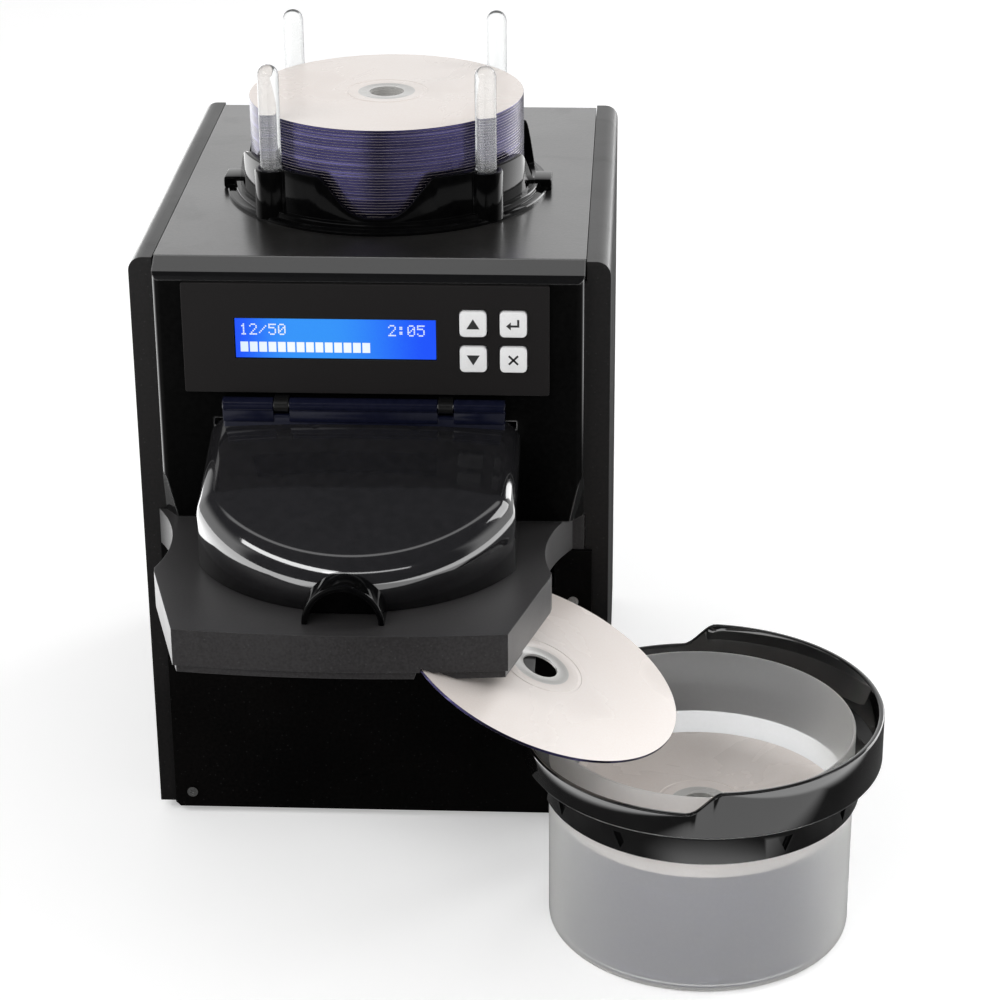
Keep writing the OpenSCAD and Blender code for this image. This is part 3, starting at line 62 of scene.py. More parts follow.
# Vertices closer than this are merged, in millimetres
WELD = 0.0005
BLACK: Colour = (0.0, 0.0, 0.0)
WHITE: Colour = (1.0, 1.0, 1.0)


class Body(Enum):
    """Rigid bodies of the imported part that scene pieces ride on."""

    MACHINE = "machine"
    COVER = "cover"
    KEY_UP = "key_up"
    KEY_DOWN = "key_down"
    KEY_ENTER = "key_enter"
    KEY_ESCAPE = "key_escape"
    LEAVING_DISC = "leaving_disc"
    BIN = "bin"
    BIN_STACK = "bin_stack"
    HOPPER_STACK = "hopper_stack"


class Shader:
    """Adds and links nodes in one shader tree."""

    def __init__(self, tree: NodeTree) -> None:
        """Work on the given tree."""
        self.tree = tree

    def give(self, socket: NodeSocket, value: object) -> None:
        """Link or set an input.

        Args:
            socket: the input.
            value: a socket to link from or a constant, where a colour gets full alpha.
        """
        if isinstance(value, NodeSocket):
            self.tree.links.new(value, socket)
        elif socket.type == "RGBA" and len(value) == 3:
            socket.default_value = (*value, 1.0)
        else:
            socket.default_value = value

    def feed(self, node: Node, **values: object) -> None:
        """Give a node inputs by name, with underscores for the spaces in their names."""
        for key, value in values.items():
            self.give(node.inputs[key.replace("_", " ")], value)

    def add(self, kind: str, values: Optional[Dict[object, object]] = None, **settings: object) -> Node:
        """Add a node.

        Args:
            kind: Blender's node type name.
            values: names or numbers of inputs, each with what it is given.
            settings: node properties.

        Returns:
            The new node.
        """
        node = self.tree.nodes.new(kind)
        for key, value in settings.items():
            setattr(node, key, value)
        for key, value in (values or {}).items():
            self.give(node.inputs[key], value)
        return node

    def group(self, tree: NodeTree, **values: float) -> Sequence[NodeSocket]:
        """Place a node group with its own values and return its outputs."""
        node = self.add("ShaderNodeGroup", node_tree=tree)
        self.feed(node, **values)
        return node.outputs

    def where(self) -> NodeSocket:
        """Return the place on the piece, in Object coordinates."""
        return self.add("ShaderNodeTexCoord").outputs["Object"]

    def split(self, vector: NodeSocket) -> Sequence[NodeSocket]:
        """Return the three parts of a vector."""
        return self.add("ShaderNodeSeparateXYZ", {0: vector}).outputs

    def stretch(self, vector: NodeSocket, scale: Point3) -> NodeSocket:
        """Return a vector scaled along each axis."""
        return self.add("ShaderNodeMapping", {"Vector": vector, "Scale": scale}).outputs[0]

    def noise(self, vector: NodeSocket, scale: object, detail: float, distortion: float = 0.0) -> NodeSocket:
        """Return the value of a noise pattern."""
        values = {"Vector": vector, "Scale": scale, "Detail": detail, "Distortion": distortion}
        return self.add("ShaderNodeTexNoise", values).outputs[0]

    def facing(self) -> NodeSocket:
        """Return how far the surface turns away from the view."""
        return self.add("ShaderNodeLayerWeight", {"Blend": 0.5}).outputs["Facing"]

    def mirrored(self) -> NodeSocket:
        """Return whether the surface is seen in a reflection."""
        return self.add("ShaderNodeLightPath").outputs["Is Glossy Ray"]

    def math(self, operation: str, first: object, second: object = 0.0, clamp: bool = False) -> NodeSocket:
        """Return the output of a Math node."""
        node = self.add("ShaderNodeMath", {0: first, 1: second}, operation=operation, use_clamp=clamp)
        return node.outputs[0]

    def plus(self, first: object, second: object, clamp: bool = False) -> NodeSocket:
        """Return a sum."""
        return self.math("ADD", first, second, clamp)

    def minus(self, first: object, second: object, clamp: bool = False) -> NodeSocket:
        """Return a difference."""
        return self.math("SUBTRACT", first, second, clamp)

    def times(self, first: object, second: object) -> NodeSocket:
        """Return a product."""
        return self.math("MULTIPLY", first, second)

    def most(self, first: object, *others: object) -> NodeSocket:
        """Return the largest of some values."""
        for other in others:
            first = self.math("MAXIMUM", first, other)
        return first

    def ramp(self, value: NodeSocket, low: float, high: float,
             to_low: float = 0.0, to_high: float = 1.0) -> NodeSocket:
        """Return a value mapped smoothly from one range to another."""
        values = {0: value, 1: low, 2: high, 3: to_low, 4: to_high}
        return self.add("ShaderNodeMapRange", values, interpolation_type="SMOOTHSTEP").outputs[0]

    def mix(self, factor: object, first: object, second: object) -> NodeSocket:
        """Return a mix of two colours."""
        return self.add("ShaderNodeMix", {0: factor, 6: first, 7: second}, data_type="RGBA").outputs[2]

    def bump(self, height: NodeSocket, distance: float, normal: Optional[NodeSocket] = None) -> NodeSocket:
        """Return the normal of a bumpy surface.

        Args:
            height: the pattern that is raised.
            distance: its depth in metres.
            normal: the normal it is added to, if that isn't the surface's own.

        Returns:
            The normal.
        """
        node = self.add("ShaderNodeBump", {"Height": height, "Distance": distance, "Strength": 1.0})
        if normal is not None:
            self.feed(node, Normal=normal)
        return node.outputs[0]


class ShaderShop:
    """Node groups that several finishes share, each built once."""

    def __init__(self) -> None:
        """Build the groups."""
        self.grain = self._group("mould_grain", {"Scale": 900.0}, ("Height", "Shade", "Rough"), self._grain)
        self.marks = self._group("handling_marks", {"Scale": 30.0}, ("Smudge", "Dust"), self._marks)
        self.edge = self._group("edge_mask_for_wear_and_highlight", {"Radius": 0.0008}, ("Mask", "Normal"), self._edge)

    def _group(self, name: str, inputs: Dict[str, float], outputs: Sequence[str],
               fill: Callable[[Shader, Node, Node], None]) -> NodeTree:
        """Build one node group.

        Args:
            name: name of the group.
            inputs: names and defaults of its number inputs.
            outputs: names of its outputs; Normal is a vector and the rest are numbers.
            fill: adds the nodes between the input and output nodes.

        Returns:
            The group's tree.
        """
        tree = bpy.data.node_groups.new(name, "ShaderNodeTree")
        for key, value in inputs.items():
            socket = tree.interface.new_socket(key, in_out="INPUT", socket_type="NodeSocketFloat")
            socket.default_value = value
        for key in outputs:
            kind = "NodeSocketVector" if key == "Normal" else "NodeSocketFloat"
            tree.interface.new_socket(key, in_out="OUTPUT", socket_type=kind)
        shader = Shader(tree)
        fill(shader, shader.add("NodeGroupInput"), shader.add("NodeGroupOutput"))
        return tree

    @staticmethod
    def _grain(shader: Shader, given: Node, out: Node) -> None:
        """Draw fine moulded or powder-coated grain with broad, faint variation.

        Args:
            shader: the group's shader.
            given: the group's input node.
            out: the group's output node.
        """
        where = shader.where()
        fine = shader.noise(where, given.outputs["Scale"], 3.0)
        wide = shader.noise(where, 14.0, 2.0)
        both = shader.plus(shader.times(fine, 0.55), shader.times(wide, 0.45))
        shader.feed(out, Height=fine, Shade=shader.ramp(both, 0.32, 0.68), Rough=shader.ramp(wide, 0.3, 0.7))

    @staticmethod
    def _marks(shader: Shader, given: Node, out: Node) -> None:
        """Draw smudges and dust from handling.

        Args:
            shader: the group's shader.
            given: the group's input node.
            out: the group's output node.
        """
        where = shader.where()
        smudge = shader.noise(where, given.outputs["Scale"], 4.0, 1.2)
        specks = shader.add("ShaderNodeTexVoronoi", {"Vector": where, "Scale": 330.0}).outputs["Distance"]
        shader.feed(out, Smudge=shader.ramp(smudge, 0.5, 0.72), Dust=shader.ramp(specks, 0.16, 0.06))

    @staticmethod
    def _edge(shader: Shader, given: Node, out: Node) -> None:
        """Round edges by a small radius and mask where they are.

        Args:
            shader: the group's shader.
            given: the group's input node.
            out: the group's output node.
        """
        bevel = shader.add("ShaderNodeBevel", {"Radius": given.outputs["Radius"]}, samples=6).outputs[0]
        flat = shader.add("ShaderNodeNewGeometry").outputs["Normal"]
        dot = shader.add("ShaderNodeVectorMath", {0: bevel, 1: flat}, operation="DOT_PRODUCT")
        shader.feed(out, Mask=shader.ramp(dot.outputs["Value"], 0.995, 0.8), Normal=bevel)


SHOP = ShaderShop()


def new_material(name: str) -> Tuple[Material, Shader, Node]:
    """Start a material.

    Args:
        name: the material's name.

    Returns:
        The material, a shader helper for its tree, and its Principled BSDF.
    """
    material = bpy.data.materials.new(name)
    material.use_nodes = True
    return material, Shader(material.node_tree), material.node_tree.nodes["Principled BSDF"]


@dataclass(frozen=True)
class MouldFinish:
    """Painted or moulded surface with grain, handling marks and softened edges; the edges are lightened, a
    little as wear and strongly as a painted highlight line.
    """

    name: str
    colour: Colour
    second: Colour
    rough: float
    grain_scale: float = 900.0
    grain_depth: float = 0.00002
    specular: float = 0.4
    graze: float = 0.0
    smudge: float = 0.06
    edge_wear_and_highlight: float = 0.25
    edge: float = 0.0006
    dust: float = 0.0
    edge_wear_and_highlight_lift: float = 0.03
    coat: float = 0.0
    coat_rough: float = 0.0
    sky: float = 0.0
    painted_black_in_reflections: float = 0.0

    def build(self) -> Material:
        """Return the material."""
        material, shader, bsdf = new_material(self.name)
        grain = shader.group(SHOP.grain, Scale=self.grain_scale)
        marks = shader.group(SHOP.marks, Scale=26.0)
        edges = shader.group(SHOP.edge, Radius=self.edge)
        # edges are lightened towards this colour: worn paint where the weight is low, a painted highlight
        # line where it is high (the fascia and the overlay film)
        edge_wear_and_highlight_colour = tuple(min(1.0, c * 1.7 + self.edge_wear_and_highlight_lift) for c in self.colour)
        colour = shader.mix(grain["Shade"], self.colour, self.second)
        colour = shader.mix(shader.times(edges["Mask"], self.edge_wear_and_highlight), colour, edge_wear_and_highlight_colour)
        if self.dust:
            colour = shader.mix(shader.times(marks["Dust"], self.dust), colour, (0.3, 0.3, 0.3))
        # seen in reflections, the colour is painted black, so the piece's reflection is blotted out: painted
        # shade in the reflection
        if self.painted_black_in_reflections:
            colour = shader.mix(shader.times(shader.mirrored(), self.painted_black_in_reflections), colour, BLACK)
        rough = shader.plus(self.rough, shader.times(marks["Smudge"], self.smudge))
        rough = shader.plus(rough, shader.times(grain["Rough"], self.rough * 0.25), clamp=True)
        normal = shader.bump(grain["Height"], self.grain_depth, edges["Normal"])
        shader.feed(bsdf, Base_Color=colour, Roughness=rough, Normal=normal, Specular_IOR_Level=self.specular)
        if self.graze or self.coat:
            shader.feed(bsdf, Coat_Weight=self._coat_weight(shader, edges["Mask"]), Coat_IOR=2.0,
                        Coat_Roughness=self.coat_rough or self.rough * 0.7)
        return material

    def _coat_weight(self, shader: Shader, edge: NodeSocket) -> NodeSocket:
        """Mask the gloss that shows at a glancing view, on what faces up and along edges.

        Args:
            shader: the material's shader.
            edge: mask of the rounded edges.

        Returns:
            The weight of the coat.
        """
        glance = shader.times(shader.ramp(shader.facing(), 0.22, 0.62), self.graze)
        up = shader.split(shader.add("ShaderNodeNewGeometry").outputs["Normal"])[2]
        sky = shader.times(shader.ramp(up, 0.2, 0.5), self.sky)
        rounded = shader.times(edge, 1.0 if self.sky else 0.0)
        return shader.most(glance, self.coat, sky, rounded)


@dataclass(frozen=True)
class MetalFinish:
    """Plated or brushed metal with directional lines."""

    name: str
    colour: Colour
    rough: float
    brush: Point3 = (40.0, 900.0, 900.0)
    depth: float = 0.000004

    def build(self) -> Material:
        """Return the material."""
        material, shader, bsdf = new_material(self.name)
        lines = shader.noise(shader.stretch(shader.where(), self.brush), 2.0, 2.0)
        marks = shader.group(SHOP.marks, Scale=40.0)
        dark = tuple(c * 0.72 for c in self.colour)
        rough = shader.plus(self.rough, shader.times(marks["Smudge"], 0.12), clamp=True)
        shader.feed(bsdf, Base_Color=shader.mix(shader.ramp(lines, 0.35, 0.65), dark, self.colour),
                    Metallic=1.0, Roughness=rough, Normal=shader.bump(lines, self.depth))
        return material


@dataclass(frozen=True)
class ClearFinish:
    """Clear or frosted plastic, with a painted tint where it turns away: a paler sheen on frosted plastic, a
    darker outline on clear plastic.
    """

    name: str
    colour: Colour
    rough: float
    transmission: float
    ior: float
    # tint painted where the surface turns away from the view
    rim: Colour
    grain_depth: float = 0.00001

    def build(self) -> Material:
        """Return the material."""
        material, shader, bsdf = new_material(self.name)
        grain = shader.group(SHOP.grain, Scale=700.0)
        marks = shader.group(SHOP.marks, Scale=50.0)
        colour = shader.mix(grain["Shade"], self.colour, tuple(c * 0.96 for c in self.colour))
        # painted light: the colour turns to the rim tint as the surface turns away from the view, a painted
        # sheen on the frosted tub and a painted dark outline on the clear rods
        colour = shader.mix(shader.ramp(shader.facing(), 0.15, 0.75), colour, self.rim)
        rough = shader.plus(self.rough, shader.times(marks["Smudge"], 0.05), clamp=True)
        shader.feed(bsdf, Base_Color=colour, Roughness=rough, Transmission_Weight=self.transmission,
                    IOR=self.ior, Normal=shader.bump(grain["Height"], self.grain_depth))
        return material


@dataclass(frozen=True)
class DiscFinish:
    """Printable disc: pearl-white face, clear hub with a stacking ring, and a dyed edge banded with painted
    highlight and shade.
    """

    name: str
    face: Colour = (0.84, 0.76, 0.71)
    warm: Colour = (0.87, 0.81, 0.77)
    hub: Colour = (0.6, 0.59, 0.57)
    hub_ring: Colour = (0.75, 0.75, 0.74)
    edge: Colour = (0.015, 0.013, 0.045)
    painted_edge_band_highlight: Colour = (0.09, 0.082, 0.19)
    hub_from: float = 0.207
    pitch: float = 1.22

    def build(self) -> Material:
        """Return the material."""
        material, shader, bsdf = new_material(self.name)
        uv = shader.add("ShaderNodeUVMap", uv_map="rings").outputs[0]
        radius = shader.split(uv)[0]
        grain = shader.group(SHOP.grain, Scale=1500.0)
        marks = shader.group(SHOP.marks, Scale=18.0)
        face = shader.mix(grain["Shade"], self.face, self.warm)
        rings = shader.add("ShaderNodeTexWave", {"Vector": uv, "Scale": 60.0, "Distortion": 0.0},
                           bands_direction="X").outputs["Fac"]
        hub = shader.mix(shader.times(rings, 0.5), self.hub, self.hub_ring)
        colour = shader.mix(shader.ramp(radius, self.hub_from - 0.004, self.hub_from + 0.004), hub, face)
        # the dyed edge is banded lighter and darker along the stack: painted highlight and shade for each
        # disc's lit rim and the dark gap beside it
        layers = shader.noise(shader.stretch(shader.where(), (3.0, 3.0, 1.0 / (MM * self.pitch))), 1.1, 2.0)
        dyed_edge_with_painted_bands = shader.mix(shader.ramp(layers, 0.5, 0.8), self.edge, self.painted_edge_band_highlight)
        rim = shader.ramp(radius, 0.9975, 0.9995)
        inside = shader.ramp(radius, self.hub_from, self.hub_from - 0.01)
        shader.feed(bsdf, Base_Color=shader.mix(rim, colour, dyed_edge_with_painted_bands),
                    Roughness=shader.plus(0.26, shader.times(marks["Smudge"], 0.15)),
                    Metallic=shader.most(shader.times(inside, 0.12), shader.times(rim, 0.9)),
                    Coat_Weight=shader.times(shader.minus(1.0, rim), 0.12), Coat_Roughness=0.12,
                    Normal=shader.bump(grain["Height"], 0.000004))
        return material


@dataclass(frozen=True)
class DisplayFinish:
    """Backlit display, brightest left of its middle and unseen in reflections."""

    name: str
    deep: Colour
    bright: Colour
    strength: float
    left: Point2 = (-0.115, -0.088)
    right: Point2 = (-0.028, -0.075)

    def build(self) -> Material:
        """Return the material."""
        material, shader, bsdf = new_material(self.name)
        where = shader.where()
        across = shader.split(where)[0]
        glow = shader.times(shader.ramp(across, *self.left), shader.ramp(across, *self.right))
        cells = shader.add("ShaderNodeTexVoronoi", {"Vector": where, "Scale": 1400.0}).outputs["Distance"]
        glow = shader.minus(glow, shader.times(cells, 0.08), clamp=True)
        glowing = shader.mix(shader.mirrored(), shader.mix(glow, self.deep, self.bright), BLACK)
        shader.feed(bsdf, Base_Color=shader.mix(0.9, glowing, BLACK), Roughness=0.12,
                    Emission_Color=glowing, Emission_Strength=self.strength)
        return material


@dataclass(frozen=True)
class BoardFinish:
    """Circuit board with traces under its solder mask."""

    name: str
    mask: Colour
    trace: Colour

    def build(self) -> Material:
        """Return the material."""
        material, shader, bsdf = new_material(self.name)
        pattern = {"Vector": shader.where(), "Scale": 160.0, "Mortar Size": 0.06,
                   "Color1": BLACK, "Color2": (0.15, 0.15, 0.15), "Mortar": WHITE}
        lanes = shader.add("ShaderNodeTexBrick", pattern).outputs["Fac"]
        grain = shader.group(SHOP.grain, Scale=500.0)
        shader.feed(bsdf, Base_Color=shader.mix(shader.times(lanes, 0.6), self.mask, self.trace),
                    Roughness=shader.ramp(grain["Rough"], 0.0, 1.0, 0.3, 0.5),
                    Normal=shader.bump(lanes, 0.00003))
        return material


class Finishes:
    """All finishes of the machine, built once."""

    def __init__(self) -> None:
        """Build every material."""
        self._build_blacks()
        self._build_front()
        self._build_inner()

    def _build_blacks(self) -> None:
        """Build the black paints and mouldings."""
        self.case = MouldFinish(
            "case_powder_coat", (0.005, 0.005, 0.005), (0.010, 0.009, 0.009), rough=0.34, grain_scale=700.0,
            specular=0.14, graze=0.35, edge_wear_and_highlight=0.3, dust=0.04).build()
        self.top = MouldFinish(
            "top_powder_coat", (0.008, 0.008, 0.008), (0.02, 0.019, 0.018), rough=0.3, grain_scale=800.0,
            grain_depth=0.00004, specular=0.3, graze=0.9, edge_wear_and_highlight=0.3, dust=0.05).build()
        self.panel = MouldFinish(
            "front_panel_paint", (0.0016, 0.0016, 0.0016), (0.004, 0.0036, 0.0035), rough=0.3,
            grain_scale=700.0, specular=0.02, edge_wear_and_highlight=0.3, dust=0.03).build()
        self.satin = MouldFinish(
            "satin_black_moulding", (0.004, 0.004, 0.004), (0.008, 0.008, 0.008), rough=0.3,
            grain_depth=0.00001, specular=0.2, graze=0.3, smudge=0.1).build()
        # the fascia's strong pale edges are painted highlight lines
        self.fascia = MouldFinish(
            "polished_fascia", (0.0014, 0.0014, 0.0014), (0.003, 0.003, 0.003), rough=0.14, grain_scale=500.0,
            grain_depth=0.000006, specular=0.02, graze=0.9, edge_wear_and_highlight=0.9, edge=0.0011, edge_wear_and_highlight_lift=0.16, sky=0.8).build()
        self.shelf = MouldFinish(
            "grained_shelf_moulding", (0.022, 0.0205, 0.021), (0.036, 0.0345, 0.0355), rough=0.3,
            grain_depth=0.00003, specular=0.15, graze=0.9, smudge=0.08, edge_wear_and_highlight=0.5, dust=0.06,
            coat_rough=0.5).build()
        self.gloss = MouldFinish(
            "polished_black_moulding", (0.002, 0.002, 0.002), (0.004, 0.004, 0.004), rough=0.05,
            grain_scale=160.0, grain_depth=0.000004, specular=0.2, graze=0.9, smudge=0.04, edge_wear_and_highlight=0.1,
            coat=0.5).build()
        self.collar = MouldFinish(
            "hopper_moulding", (0.0012, 0.0012, 0.0014), (0.003, 0.003, 0.003), rough=0.08, grain_scale=300.0,
            grain_depth=0.000004, specular=0.03, graze=0.5, smudge=0.05, edge_wear_and_highlight=0.1).build()

    def _build_front(self) -> None:
        """Build the finishes of the cover, the control panel, the hopper's rods, the bin and the discs."""
        self.lid = MouldFinish(
            "polished_lid", (0.01, 0.01, 0.011), (0.016, 0.0155, 0.017), rough=0.09, grain_scale=240.0,
            grain_depth=0.000003, specular=0.2, smudge=0.05, edge_wear_and_highlight=0.1, coat=0.9).build()
        # black moulding with a blue tint painted in as the display's reflection in the barrel
        self.hinge = MouldFinish(
            "hinge_moulding_painted_display_reflection", (0.004, 0.005, 0.014), (0.007, 0.008, 0.02), rough=0.16, grain_scale=400.0,
            grain_depth=0.000006, specular=0.08, graze=0.25, edge_wear_and_highlight=0.1).build()
        # the film's pale edges are a painted highlight line
        self.film = MouldFinish(
            "overlay_film", (0.011, 0.01, 0.01), (0.013, 0.012, 0.012), rough=0.4, grain_scale=1400.0,
            grain_depth=0.000004, specular=0.08, edge_wear_and_highlight=0.7, edge=0.0004).build()
        # the key caps are painted black where they are seen in reflections
        self.key = MouldFinish(
            "key_caps", (0.86, 0.86, 0.86), (0.82, 0.82, 0.82), rough=0.35, grain_scale=1200.0,
            grain_depth=0.000008, edge_wear_and_highlight=0.2, painted_black_in_reflections=0.97).build()
        self.ink = MouldFinish(
            "key_legend_ink", (0.01, 0.01, 0.01), (0.02, 0.02, 0.02), rough=0.45, grain_scale=1500.0,
            grain_depth=0.000004).build()
        self.screen = DisplayFinish(
            "display_backlight", deep=(0.012, 0.085, 0.92), bright=(0.035, 0.29, 0.9), strength=0.98).build()
        self.pixel = DisplayFinish(
            "display_pixels", deep=(0.72, 0.84, 1.0), bright=(0.9, 0.95, 1.0), strength=0.95).build()
        # the rim tints are painted: a dark outline on the clear acrylic and a pale sheen on the frosted tub
        self.clear = ClearFinish(
            "clear_acrylic", (0.82, 0.83, 0.83), rough=0.02, transmission=0.82, ior=1.3,
            rim=(0.3, 0.31, 0.32)).build()
        self.frost = ClearFinish(
            "frosted_tub", (0.84, 0.845, 0.85), rough=0.36, transmission=0.8, ior=1.25, rim=(1.0, 1.0, 0.98),
            grain_depth=0.00004).build()
        self.disc = DiscFinish("printable_disc").build()

    def _build_inner(self) -> None:
        """Build the finishes of what lies inside, behind and below."""
        self.grey = MouldFinish("grey_moulding", (0.28, 0.28, 0.29), (0.22, 0.22, 0.23), 0.45).build()
        self.acetal = MouldFinish("natural_acetal", (0.72, 0.68, 0.58), (0.64, 0.6, 0.5), 0.4).build()
        self.rubber = MouldFinish(
            "moulded_rubber", (0.015, 0.015, 0.015), (0.03, 0.03, 0.03), rough=0.8, grain_scale=500.0,
            grain_depth=0.00005, specular=0.25).build()
        self.silicone = MouldFinish("silicone_mat", (0.42, 0.42, 0.42), (0.36, 0.36, 0.36), 0.6).build()
        self.zinc = MetalFinish("zinc_plated_sheet", (0.6, 0.6, 0.58), 0.34).build()
        self.steel = MetalFinish(
            "bright_plated_steel", (0.72, 0.72, 0.71), rough=0.18, brush=(900.0, 900.0, 60.0)).build()
        self.brass = MetalFinish("turned_brass", (0.68, 0.5, 0.22), 0.25).build()
        self.board = BoardFinish("circuit_board", (0.015, 0.11, 0.04), (0.05, 0.24, 0.09)).build()


def finish_piece(bm: BMesh, name: str, material: Material, body: Body,
                 replaced: Iterable[str] = (), smooth: float = 32.0) -> Object:
    """Turn a bmesh drawn in the case's frame into a piece of the object.

    Args:
        bm: the shape, in millimetres.
        name: the piece's name.
        material: its finish.
        body: the body it rides on.
        replaced: CAD nodes that it stands for.
        smooth: angle in degrees below which an edge is shaded smooth.

    Returns:
        The finished object.
    """
    bmesh.ops.remove_doubles(bm, verts=bm.verts, dist=WELD)
    bmesh.ops.recalc_face_normals(bm, faces=bm.faces)
    bmesh.ops.transform(bm, matrix=TO_ROW, verts=bm.verts)
    mesh = bpy.data.meshes.new(name)
    bm.to_mesh(mesh)
    bm.free()
    mesh.shade_smooth()
    mesh.set_sharp_from_angle(angle=math.radians(smooth))
    mesh.materials.append(material)
    piece = bpy.data.objects.new(name, mesh)
    bpy.context.scene.collection.objects.link(piece)
    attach(piece, body.value)
    if replaced:
        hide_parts(*replaced)
    LOG.info("%s: %d faces on %s", name, len(mesh.polygons), body.value)
    return piece


def lathe(bm: BMesh, profile: Sequence[Point2], steps: int = 128, centre: Point2 = (0.0, 0.0),
          closed: bool = False) -> List[BMVert]:
    """Spin a profile of radius and height about an upright axis.

    Args:
        bm: the mesh to add to.
        profile: points as (radius, height).
        steps: number of steps round the axis.
        centre: place of the axis.
        closed: whether the profile's ends are joined.

    Returns:
        The new vertices.
    """
    before = set(bm.verts)
    line = [bm.verts.new((radius, 0.0, height)) for radius, height in profile]
    pairs = list(zip(line, line[1:])) + ([(line[-1], line[0])] if closed else [])
    edges = [bm.edges.new(pair) for pair in pairs]
    bmesh.ops.spin(bm, geom=line + edges, cent=(0, 0, 0), axis=(0, 0, 1), dvec=(0, 0, 0), angle=math.tau,
                   steps=steps, use_merge=True, use_duplicate=False)
    new = [vert for vert in bm.verts if vert not in before]
    bmesh.ops.remove_doubles(bm, verts=new, dist=WELD)
    new = [vert for vert in bm.verts if vert not in before]
    bmesh.ops.translate(bm, vec=(*centre, 0.0), verts=new)
    return new


def round_edges(bm: BMesh, edges: Sequence[BMEdge], radius: float, segments: int) -> None:
    """Round some edges of a mesh."""
    bmesh.ops.bevel(bm, geom=edges, offset=radius, segments=segments, profile=0.5, affect="EDGES",
                    material=-1)


def slab(bm: BMesh, low: Sequence[float], high: Sequence[float], edge: float = 0.0,
         segments: int = 2) -> List[BMVert]:
    """Add a box with rounded edges.

    Args:
        bm: the mesh to add to.
        low: lowest corner.
        high: highest corner.
        edge: rounding of its edges.
        segments: segments of the rounding.

    Returns:
        The new vertices.
    """
    before = set(bm.verts)
    made = bmesh.ops.create_cube(bm, size=1.0)["verts"]
    bmesh.ops.scale(bm, vec=[b - a for a, b in zip(low, high)], verts=made)
    bmesh.ops.translate(bm, vec=[(a + b) / 2 for a, b in zip(low, high)], verts=made)
    if edge:
        round_edges(bm, list({e for vert in made for e in vert.link_edges}), edge, segments)
    return [vert for vert in bm.verts if vert not in before]


def ring_edges(bm: BMesh, loop: Sequence[BMVert]) -> List[BMEdge]:
    """Return the edges of a closed loop of vertices, made where they are missing."""
    pairs = zip(loop, list(loop[1:]) + [loop[0]])
    return [bm.edges.get(pair) or bm.edges.new(pair) for pair in pairs]


def grow(bm: BMesh, loop: Sequence[BMVert], places: Sequence[Vector]) -> List[BMVert]:
    """Extrude a closed loop of vertices and put the new loop in place.

    Args:
        bm: the mesh.
        loop: the loop to go on from.
        places: where each new vertex goes, in the same order.

    Returns:
        The new loop.
    """
    made = bmesh.ops.extrude_edge_only(bm, edges=ring_edges(bm, loop))["geom"]
    fresh = {item for item in made if isinstance(item, BMVert)}
    new = [next(e.other_vert(vert) for e in vert.link_edges if e.other_vert(vert) in fresh) for vert in loop]
    for vert, place in zip(new, places):
        vert.co = place
    return new


def thicken(bm: BMesh, faces: Sequence[BMFace], vec: Sequence[float]) -> None:
    """Extrude faces and move what they became, leaving the faces themselves where they are."""
    made = bmesh.ops.extrude_face_region(bm, geom=faces)["geom"]
    bmesh.ops.translate(bm, vec=vec, verts=[item for item in made if isinstance(item, BMVert)])


def mark_rings(bm: BMesh, centre: Point2, radius: float) -> None:
    """Write a UV map whose first value is the distance from the centre as a share of the radius.

    Args:
        bm: the mesh.
        centre: place of the axis.
        radius: the distance that counts as one.
    """
    layer = bm.loops.layers.uv.new("rings")
    for face in bm.faces:
        for loop in face.loops:
            away = loop.vert.co.xy - Vector(centre)
            loop[layer].uv = (away.length / radius, 0.5)


@dataclass
class Disc:
    """One standard disc."""

    radius: float = 60.0
    hole: float = 7.5
    thick: float = 1.2
    pitch: float = 1.22
    edge: float = 0.12
    groove_r: float = 17.0
    groove_w: float = 1.0
    groove_depth: float = 0.2
    hub_r: float = 11.0
    hub_step: float = 0.12
    lean: float = 0.3

    def profile(self, detailed: bool) -> List[Point2]:
        """Return the closed profile of a disc.

        Args:
            detailed: whether the stacking groove and hub step are drawn.

        Returns:
            Points as (radius, height).
        """
        r, t, e, h = self.radius, self.thick, self.edge, self.hole
        rim: List[Point2] = [(h + e, 0.0), (r - e, 0.0), (r, e), (r, t - e), (r - e, t)]
        if not detailed:
            return rim + [(h + e, t), (h, t - e), (h, e)]
        near, far = self.groove_r, self.groove_r + self.groove_w
        groove, step = t - self.groove_depth, t - self.hub_step
        return rim + [(far + self.lean, t), (far, groove), (near, groove), (near - self.lean, t),
                      (self.hub_r, t), (self.hub_r - self.lean, step), (h + e, step), (h, t - e), (h, e)]

    def add(self, bm: BMesh, centre: Point2, height: float, detailed: bool, steps: int) -> None:
        """Add one disc to a mesh, lying at the given height."""
        for vert in lathe(bm, self.profile(detailed), steps, centre, closed=True):
            vert.co.z += height


